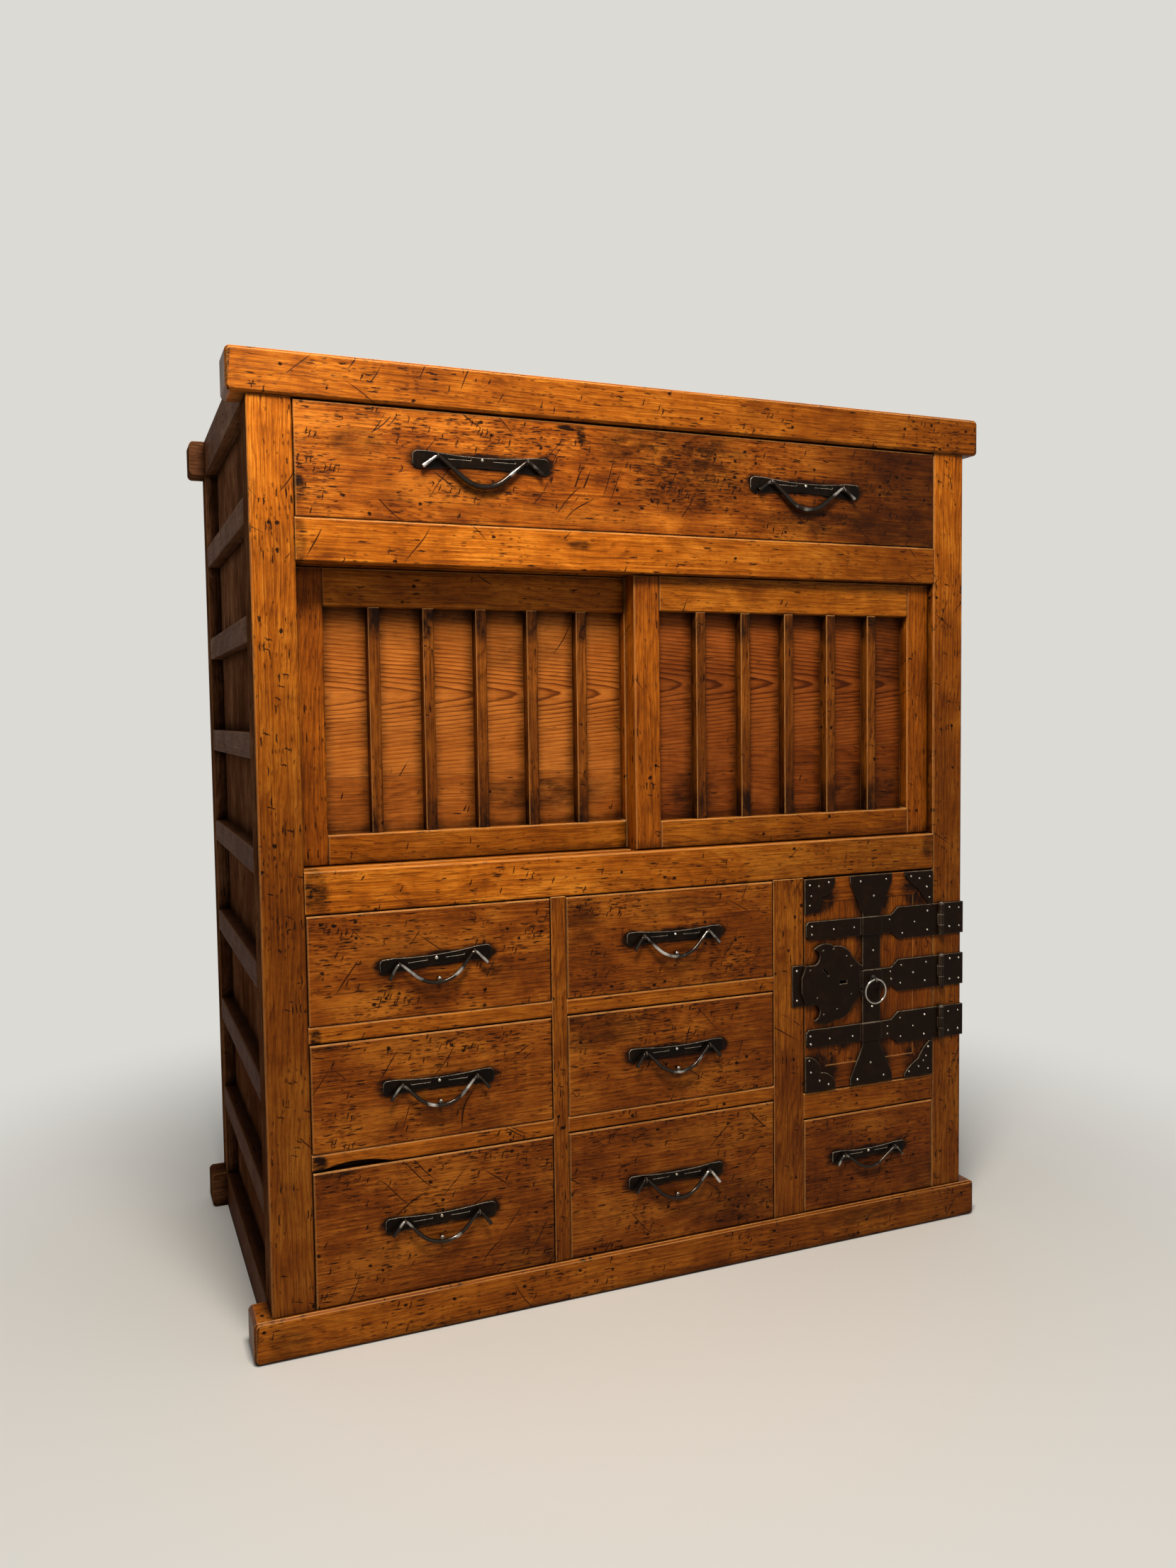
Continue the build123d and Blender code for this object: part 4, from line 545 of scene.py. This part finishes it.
# Safe door ironwork: straps, band, corners, lock plate and hinge plates cut from forged sheet, their cut edges
# filed to a bevel, blackened in the fire and nailed on with small round-headed nails.
def forged_iron(name, base, filed_and_highlit, metallic, roughness, polish, hammer=1.0, edge=0.0014):
    """Forged iron under fire scale, so dark with a soft sheen. Shallow hammer marks 11 mm across and the scale
    lift the surface, rust mottles it, and the filed edges are bare, and painted as highlights where they look up
    and to the near end, or where there are none, soft bright patches are both worn iron and painted highlights."""
    material, node = begun(name)
    _, space = in_millimetres(node)
    hollows = mottle(node, space, 11, 11, 11, 1.0)
    # Real fire scale is about 0.5 mm across. It is drawn 1.3 mm across, so that it shows.
    scale = mottle(node, space, 1.3, 1.3, 1.3, 3.0, 0.6)
    rust = mottle(node, space, 17, 17, 17, 4.0, 0.65)
    lift = {"Strength": 0.7, "Distance": 0.0008}
    if edge:
        rubbed_and_highlit, downward_edge, lift["Normal"] = lit_and_rubbed_arris(node, edge, 0.985)
    else:
        rubbed_and_highlit, downward_edge = node("MapRange", (mottle(node, space, 24, 24, 24, 2.0), 0.54, 0.66)), 0.0
    bare_and_highlit = weighed(node, rubbed_and_highlit, ((downward_edge, 0.12),))
    bare_and_highlit = node("Math MULTIPLY", (bare_and_highlit, node("MapRange", (rust, 0.38, 0.55, 0.35, polish))))
    bare_and_highlit = node("Math MULTIPLY", (bare_and_highlit, polish))
    rusted = node("MapRange", (rust, 0.48, 0.70, 0.0, 0.45))
    paint = layered(node, linear(base), ((rusted, 1.0, "#2a190b"), (bare_and_highlit, 1.0, filed_and_highlit)))
    lift["Height"] = weighed(node, 0.0, ((hollows, 0.9 * hammer), (scale, 0.14 * min(hammer + 0.1, 1.0))))
    rough = weighed(node, roughness - 0.10, ((scale, 0.20), (bare_and_highlit, -0.10)))
    shader = node("BsdfPrincipled", {"Base Color": paint, "Metallic": metallic, "Roughness": rough,
                                     "Specular IOR Level": 0.07, "Normal": node("Bump", lift)})
    node("OutputMaterial", {"Surface": shader})
    return material


def round_turn(count):
    """Equal steps round a full turn."""
    return np.linspace(0, 2 * pi, count, endpoint=False)


def nail_heads(places, radius, height, rng, rows=6, around=12):
    """Round nail heads that look to the front. Each is a quarter turn of swing from its rim to its crown and a
    full turn around it: the width falls with the cosine of the swing and the height grows with its sine. Each
    is a little larger or smaller than the next and tipped to one side by the hammer."""
    places = np.asarray(places, float)
    size = radius * rng.uniform(0.85, 1.15, len(places))[:, None, None]
    tip = rng.uniform(-0.15, 0.15, (2, len(places)))[..., None, None]
    swing = np.linspace(0, 0.47 * pi, rows)[None, :, None]
    turn = round_turn(around)[None, None, :]
    x, z = size * np.cos(swing) * np.cos(turn), size * np.cos(swing) * np.sin(turn)
    y = -height * np.sin(swing) + (tip[0] * x + tip[1] * z) * np.sin(swing)
    return places[:, None, None, :] + np.stack(np.broadcast_arrays(x, y, z), axis=-1)


# The filed edges that face the light carry painted highlights, and the nails' bright patches are painted
# highlights as well as wear.
door_iron = forged_iron("blackened_forged_iron", "#170b04", "#a8977f", 0.12, 0.36, 0.95)
plate_iron = forged_iron("blackened_thin_plate", "#0f0905", "#d2c4b0", 0.25, 0.32, 0.95, edge=0.0011)
nail_iron = forged_iron("rubbed_iron_nails", "#b3aa9d", "#fff8ec", 1.0, 0.22, 1.0, hammer=0.2, edge=0)
for name in ("safe_door_irons", "safe_lock", "hinge_post_plates", "strike_plate", "safe_lock_bolt"):
    finish(name, [door_iron])
leaf_nails = [(218, 470), (231.5, 468), (246.5, 472), (220, 456), (218, 444), (295, 470), (335, 470.5),
              (315.5, 450), (374.5, 471.5), (388, 468), (404.5, 469.5), (400, 456), (404, 442), (216.5, 244.5),
              (219, 229), (232, 216.5), (245.5, 210.5), (290, 211), (331, 212), (403, 241), (399.5, 229),
              (395, 223), (387.5, 216), (402.5, 211.5), (372, 211), (314.5, 378.5), (313, 305), (310.5, 231),
              (221, 417), (221, 406.5), (254, 411), (285, 411), (340, 417), (380, 411), (401, 424),
              (360.5, 397.5), (401, 398.5), (341.5, 348), (343, 338), (359, 355), (357.5, 331.5), (378, 343.5),
              (399, 355.5), (397, 331), (218.5, 276), (219, 265.5), (247.5, 270), (282.5, 269), (337, 276),
              (337, 266), (357, 285), (397, 285), (378, 272), (358, 260), (396, 259)]
post_nails = [(437.5, 426), (453, 424.5), (437.5, 400), (453.5, 400), (438.5, 356.5), (453, 356.5), (438, 329),
              (453, 329), (436, 285), (452, 285), (436, 259), (452, 260)]
strike_nails = [(198.8, 362), (199, 324)]
lock_nails = [(236.5, 384.5), (252, 385.5), (272, 375), (279, 361.5), (279, 325), (227.5, 324.5), (257.5, 307.5),
              (237, 302), (217, 361)]
leaf_face, lock_face, post_face, strike_face = -247.4, -249.9, -247.0, -246.6
small_nail, lock_nail, pull_nail = (1.4, 0.95), (1.6, 0.8), (1.8, 1.05)  # radius and height of the heads
rng = np.random.default_rng(7)
leaf_places = [(x, leaf_face, z) for x, z in leaf_nails]
frame_places = [(x, post_face, z) for x, z in post_nails] + [(x, strike_face, z) for x, z in strike_nails]
lock_places = [(x, lock_face, z) for x, z in lock_nails]
surface("door_nails", nail_heads(leaf_places, *small_nail, rng), nail_iron, "safe_door")
surface("post_nails", nail_heads(frame_places, *small_nail, rng), nail_iron, "cabinet")
surface("lock_nails", nail_heads(lock_places, *lock_nail, rng), plate_iron, "safe_door")

# Hinge pins: three short iron rods with hammered heads, dropped loose through the straps' knuckles and polished
# where they turn.
finish("hinge_pins", [forged_iron("polished_hinge_pins", "#4b443e", "#c9bfb2", 0.9, 0.38, 0.9)])


# Bail pulls: a thin blackened plate with two saw-cut slots, a nail through its middle and two flat eyes driven
# through it, and a smooth rod, thick in the middle, bent and sprung into the eyes with its ends turned out. Some
# bails rest on a stud. Hands have kept the rods bright, in patches, and the nail heads too, and these bright
# patches are painted highlights as well.
drawer_face, plate_thick, eyes_out = -245.0, 1.5, 6.0
as_bail, as_plate = 2, 3  # where a pull's two turns stand in its row


def hung_at(place, turned, across, up, out):
    """A place on a drawer's front: across and up from the middle of the pull's eyes, turned as its bail or its
    plate is, and out from the wood, all in millimetres."""
    turn = radians(place[turned])
    return np.stack(np.broadcast_arrays(place[0] + across * cos(turn) - up * sin(turn), drawer_face - out,
                                        place[1] + across * sin(turn) + up * cos(turn)), axis=-1)


def pull_plate(name, size, place, drawer, rng):
    """The plate as a flat strip of quads, thickened and eased by modifiers. Along it, its half width is the
    waist plus the square of the way out to the shoulder, and at the ends it falls off as a quarter circle. The
    quads of the two slots are left out."""
    half, ends = size["plate"] / 2, size["plate"] / 2 - size["clip"]
    slots, slot_half = np.array([(-1.5, -0.5), (0.5, 1.5)]) * size["spacing"] / 4, 0.8
    rounding = half - size["clip"] * (1 - np.sin(np.linspace(0, pi / 2, 7)))
    along = np.unique(np.round(np.concatenate([np.linspace(-ends, ends, 43), slots.ravel(), -rounding,
                                               rounding]), 4))
    reach = np.abs(along)
    shoulder = half - size["end"]
    wide = np.where(reach < shoulder, size["waist"] + (size["end"] - size["waist"]) * (reach / shoulder) ** 2,
                    size["end"]) / 2
    fall = np.clip((reach - ends) / size["clip"], 0, 1)
    wide = wide - size["clip"] * (1 - np.sqrt(1 - fall ** 2)) + rng.uniform(-0.12, 0.0, len(along))
    middle = -size["rise"]
    up = np.stack([middle - wide, np.full_like(wide, -slot_half), np.full_like(wide, slot_half), middle + wide],
                  axis=1)
    up[:, 1] = np.maximum(up[:, 1], up[:, 0] + 0.1)
    up[:, 2] = np.minimum(up[:, 2], up[:, 3] - 0.1)
    points = hung_at(place, as_plate, along[:, None], up, plate_thick)
    index = np.arange(points.shape[0] * 4).reshape(-1, 4)
    quads = np.stack([index[:-1, :-1], index[1:, :-1], index[1:, 1:], index[:-1, 1:]], axis=-1)
    centres = (along[:-1] + along[1:]) / 2
    slotted = ((centres[:, None] > slots[:, 0]) & (centres[:, None] < slots[:, 1])).any(axis=1)
    kept = np.ones(quads.shape[:2], bool)
    kept[slotted, 1] = False
    plate = made(name, points.reshape(-1, 3), quads[kept].tolist(), plate_iron, drawer, smooth=False)
    thick = plate.modifiers.new("thickness", "SOLIDIFY")
    thick.thickness, thick.offset = plate_thick / 1000, -1
    eased = plate.modifiers.new("eased", "BEVEL")
    eased.width, eased.segments, eased.limit_method = 0.0004, 2, "ANGLE"
    return plate


def pull_eyes(size, place, rows=28, around=12):
    """The two eyes, each a flattened ring: a full turn about the rod's axis, and around that a section that is
    wider along the axis than it is thick."""
    ring, half_thick, half_wide = 2.95, 0.62, 0.95
    swing = round_turn(rows)[:, None]
    section = round_turn(around)[None, :]
    reach = ring + half_thick * np.cos(section)
    across = np.array([-1, 1])[:, None, None] * size["spacing"] / 2 + half_wide * np.sin(section)
    up, out = reach * np.sin(swing), eyes_out + reach * np.cos(swing)
    return hung_at(place, as_bail, across, up[None], out[None])


def pins(place, across, up, outs, radii, around=12):
    """Round pins that stand out from the front at places across and up from the middle of the eyes: at each
    row a circle of the radius given there, that far out."""
    spin = round_turn(around)[None, None, :]
    radii, outs = np.array((radii, outs))[:, None, :, None]
    across = np.array(across)[:, None, None]
    return hung_at(place, as_bail, across + radii * np.cos(spin), up + radii * np.sin(spin), outs)


def bail_line(size, step=7.0):
    """The bail's middle line, flat, and its radius at each point. It runs straight between corners that are
    rounded with arcs, and its radius goes from the tip's to the eye's, then to the middle's and back."""
    in_eye, elbow = 2.3, 3
    inner, outer = size["spacing"] / 2 - in_eye, size["spacing"] / 2 + in_eye
    slope = radians(size["slope"])
    depth = inner * tan(slope)
    bow = (depth - size["drop"]) / (1 / cos(slope) - 1)
    tip = (outer + size["leg"] * cos(radians(size["flare"])), -size["leg"] * sin(radians(size["flare"])))
    corners = np.array([(-tip[0], tip[1]), (-outer, 0), (-inner, 0), (0, -depth), (inner, 0), (outer, 0), tip])
    line, radii = [corners[0]], [size["tip"]]
    for before, corner, after, bend, wide in zip(corners, corners[1:], corners[2:],
                                                 (elbow, elbow, bow, elbow, elbow),
                                                 ("eye", "eye", "middle", "eye", "eye")):
        first, second = (side / np.linalg.norm(side) for side in (before - corner, after - corner))
        half = acos(np.clip(first @ second, -1, 1)) / 2
        centre = corner + (first + second) / np.linalg.norm(first + second) * bend / sin(half)
        sweep = pi - 2 * half
        share = np.linspace(0, 1, max(int(sweep / radians(step)), 3))[:, None]
        start, end = (corner + side * bend / tan(half) - centre for side in (first, second))
        arc = centre + (start * np.sin((1 - share) * sweep) + end * np.sin(share * sweep)) / sin(sweep)
        line += list(arc)
        radii += [size[wide]] * len(arc)
    line, radii = np.array(line + [corners[-1]]), np.array(radii + [size["tip"]])
    reached = np.concatenate([[0], np.cumsum(np.linalg.norm(np.diff(line, axis=0), axis=1))])
    marks = np.linspace(0, reached[-1], 150)
    radii = np.interp(marks, reached, radii)
    radii = np.convolve(np.pad(radii, 4, mode="edge"), np.ones(9) / 9, mode="valid")
    return np.stack([np.interp(marks, reached, line[:, axis]) for axis in (0, 1)], axis=1), radii


def bail_rod(size, place, around=18):
    """The rod: a circle of its radius carried along the bail's line, with its ends rounded off over the last
    half millimetre. A bail that rests on a stud leans out from its eyes."""
    round_share, eased = 0.95, 0.5  # a round rod is thinner than the CAD's six-sided one over its corners
    on_stud = size["middle"] * 1.5 + 0.3
    lean = asin(on_stud / size["drop"]) if size["studded"] else 0.0
    line, radii = bail_line(size)
    tangent = np.gradient(line, axis=0)
    tangent /= np.linalg.norm(tangent, axis=1)[:, None]
    normal = np.stack([-tangent[:, 1], tangent[:, 0]], axis=1)
    line = np.concatenate([line[:1], line[:1] + tangent[:1] * eased, line[1:-1], line[-1:] - tangent[-1:] * eased,
                           line[-1:]])
    normal = np.concatenate([normal[:1], normal[:1], normal[1:-1], normal[-1:], normal[-1:]])
    radii = round_share * np.concatenate([[radii[0] * 0.75], radii, [radii[-1] * 0.75]])
    spin = round_turn(around)[None, :]
    flat = line[:, None] + normal[:, None] * (radii[:, None] * np.cos(spin))[..., None]
    out = radii[:, None] * np.sin(spin)
    up = flat[..., 1] * cos(lean) + out * sin(lean)
    out = eyes_out - flat[..., 1] * sin(lean) + out * cos(lean)
    return hung_at(place, as_bail, flat[..., 0], up, out)


bail_iron = forged_iron("handled_iron_bails", "#332d28", "#ece6db", 0.95, 0.16, 0.80, hammer=0.03, edge=0)
# The plate's length, height at waist and end, clipped corner and fall below the eyes, the eyes' spacing, and the
# bail's drop, slope, turned-out leg, its flare, and radii, in millimetres and degrees.
large = dict(plate=158, waist=11.5, end=19, clip=6, rise=3.0, spacing=103.5, drop=29.7, slope=39.5, leg=19.3,
             flare=37, middle=3.1, eye=1.9, tip=2.7, studded=False)
medium = dict(plate=128, waist=10.8, end=16.2, clip=5, rise=1.6, spacing=86.3, drop=26.0, slope=46.5, leg=18.5,
              flare=52, middle=2.4, eye=1.7, tip=2.3, studded=True)
small = dict(plate=111, waist=9, end=14.5, clip=2, rise=1.6, spacing=78.0, drop=20, slope=37, leg=14.5,
             flare=52, middle=2.0, eye=1.6, tip=2.1, studded=False)
shank_outs, shank_radii = (0.5, 1.9, 3.2), (1.5, 1.35, 1.25)
stud_up, stud_outs, stud_radii = 3.3, (0.0, 5.0, 5.2, 5.4, 6.3, 6.9, 7.15), (1.3, 1.3, 2.2, 2.5, 2.35, 1.6, 0.6)
for drawer, (_, pulls, _) in drawers.items():
    size = {"top_drawer": large, "small_drawer": small}.get(drawer, medium)
    half = size["spacing"] / 2
    for place, side in zip(pulls, ("left", "right")):
        bail = f"top_bail_{side}" if drawer == "top_drawer" else f"{drawer}_bail"
        rng = np.random.default_rng(len(bail) + int(abs(place[0])))
        rod = surface(f"{bail}_rod", bail_rod(size, place)[None], bail_iron, bail)
        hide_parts(bail)
        plate = pull_plate(f"{bail}_plate", size, place, drawer, rng)
        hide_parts(f"{drawer}_irons")
        surface(f"{bail}_eyes", pull_eyes(size, place), plate_iron, drawer, ringed=True)
        surface(f"{bail}_shanks", pins(place, (-half, half), 0.0, shank_outs, shank_radii), plate_iron, drawer)
        middle = hung_at(place, as_plate, np.zeros(1), 0.0, plate_thick)
        surface(f"{bail}_nail", nail_heads(middle, *pull_nail, rng), nail_iron, drawer)
        if size["studded"]:
            stud = pins(place, (0.0,), stud_up - size["drop"], stud_outs, stud_radii)
            surface(f"{bail}_stud", stud, nail_iron, drawer)


# Ring pull: a thin steel wire closed into a ring, hung in a staple that is driven through the band. Fingers
# keep it the brightest metal on the chest.
def wire_ring(centre, radius, wire, rows=72, around=14):
    """A ring: a circle of the wire's radius carried round a circle of the ring's radius, facing the front."""
    swing = round_turn(rows)[:, None]
    section = round_turn(around)[None, :]
    reach = radius + wire * np.cos(section)
    return np.array(centre) + np.stack(np.broadcast_arrays(reach * np.cos(swing), wire * np.sin(section),
                                                           reach * np.sin(swing)), axis=-1)


ring_radius, ring_wire = 15.6, 1.3
ring_middle = (312.2, -256.0, 341.95 - ring_radius)  # hanging plumb from the staple
ring_steel = forged_iron("bright_steel_wire", "#a8a196", "#eae5dc", 1.0, 0.20, 0.6, hammer=0.15, edge=0)
ring = surface("ring_wire", wire_ring(ring_middle, ring_radius, ring_wire)[None], ring_steel, "ring_pull",
               ringed=True)
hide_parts("ring_pull")
finish("ring_staple", [bail_iron])

# Floor and surround, not part of the chest: a plain pale sheet that runs out into the pale wall behind it, lit
# only by the lamps, and showing the same pale tone in the iron as it does to the eye.
pale = linear("#dcdad5")


def seen_only(node):
    """1 for what the eye or a reflection meets directly, and 0 for light that falls on the chest."""
    path = node("LightPath", out="Is Camera Ray")
    either = node("Math MAXIMUM", (path, path.node.outputs["Is Glossy Ray"]))
    return node("Math MAXIMUM", (either, path.node.outputs["Is Transmission Ray"]))


sheet, node = begun("pale_floor_sheet")
reach = node("VectorMath LENGTH", (node("TexCoord", out="Object"),), out="Value")
far = node("MapRange", (reach, 0.35, 1.3), interpolation_type="SMOOTHSTEP")
far = node("Math MULTIPLY", (far, seen_only(node)))
matt = node("BsdfPrincipled", {"Base Color": linear("#dedbd5"), "Roughness": 0.8})
haze = node("Emission", {"Color": pale, "Strength": 1.0})
node("OutputMaterial", {"Surface": node("MixShader", (far, matt, haze))})
floor_reach = 30  # metres
floor_corners = floor_reach * np.array([(-1, -1, 0), (1, -1, 0), (1, 1, 0), (-1, 1, 0)])
floor_mesh = bpy.data.meshes.new("floor")
floor_mesh.from_pydata(floor_corners.tolist(), [], [(0, 1, 2, 3)])
floor_mesh.materials.append(sheet)
floor = placed("floor", floor_mesh)

world = bpy.data.worlds.new("surround")
world.use_nodes = True
world.node_tree.nodes.clear()
node = partial(add, world.node_tree)
glow = node("Background", {"Color": linear("#ffffff"), "Strength": 0.22})
wall = node("Background", {"Color": pale, "Strength": 1.0})
node("OutputWorld", {"Surface": node("MixShader", (seen_only(node), glow, wall))})
bpy.context.scene.world = world


# Light: one soft lamp high in front of the left end, so the front darkens down and to the right as it does in
# the photograph, and a weak wide one from the right to open the shadows.
def soft_lamp(name, place, target, width, power, tint):
    """A square lamp at a place in metres, turned to face its target."""
    lamp = bpy.data.lights.new(name, "AREA")
    lamp.shape, lamp.size, lamp.energy, lamp.color = "SQUARE", width, power, linear(tint)[:3]
    holder = placed(name, lamp)
    holder.location = place
    holder.rotation_mode = "QUATERNION"
    holder.rotation_quaternion = (Vector(target) - Vector(place)).to_track_quat("-Z", "Y")


soft_lamp("main_lamp", (-0.36, -1.05, 1.93), (-0.10, -0.25, 0.70), 0.4, 35.0, "#fff6ea")
soft_lamp("fill_lamp", (0.9, -3.0, 1.3), (0.0, 0.0, 0.5), 2.0, 4.0, "#ffffff")

# Camera: at the photograph's own place, with its own lens and turn.
stand = (-0.6181, -1.5287, 0.6901)
camera = placed("camera", bpy.data.cameras.new("camera"))
camera.data.lens, camera.data.sensor_width, camera.data.clip_start = 27.47, 36, 0.05
forward = Vector((0.3839, 0.9215, -0.0583)).normalized()
right = Vector((0.9227, -0.3852, -0.0132)).normalized()
turned = Matrix((right, right.cross(forward), -forward)).transposed().to_4x4()
camera.matrix_world = Matrix.Translation(stand) @ turned
bpy.context.scene.camera = camera
bpy.context.scene.view_settings.view_transform = "Standard"
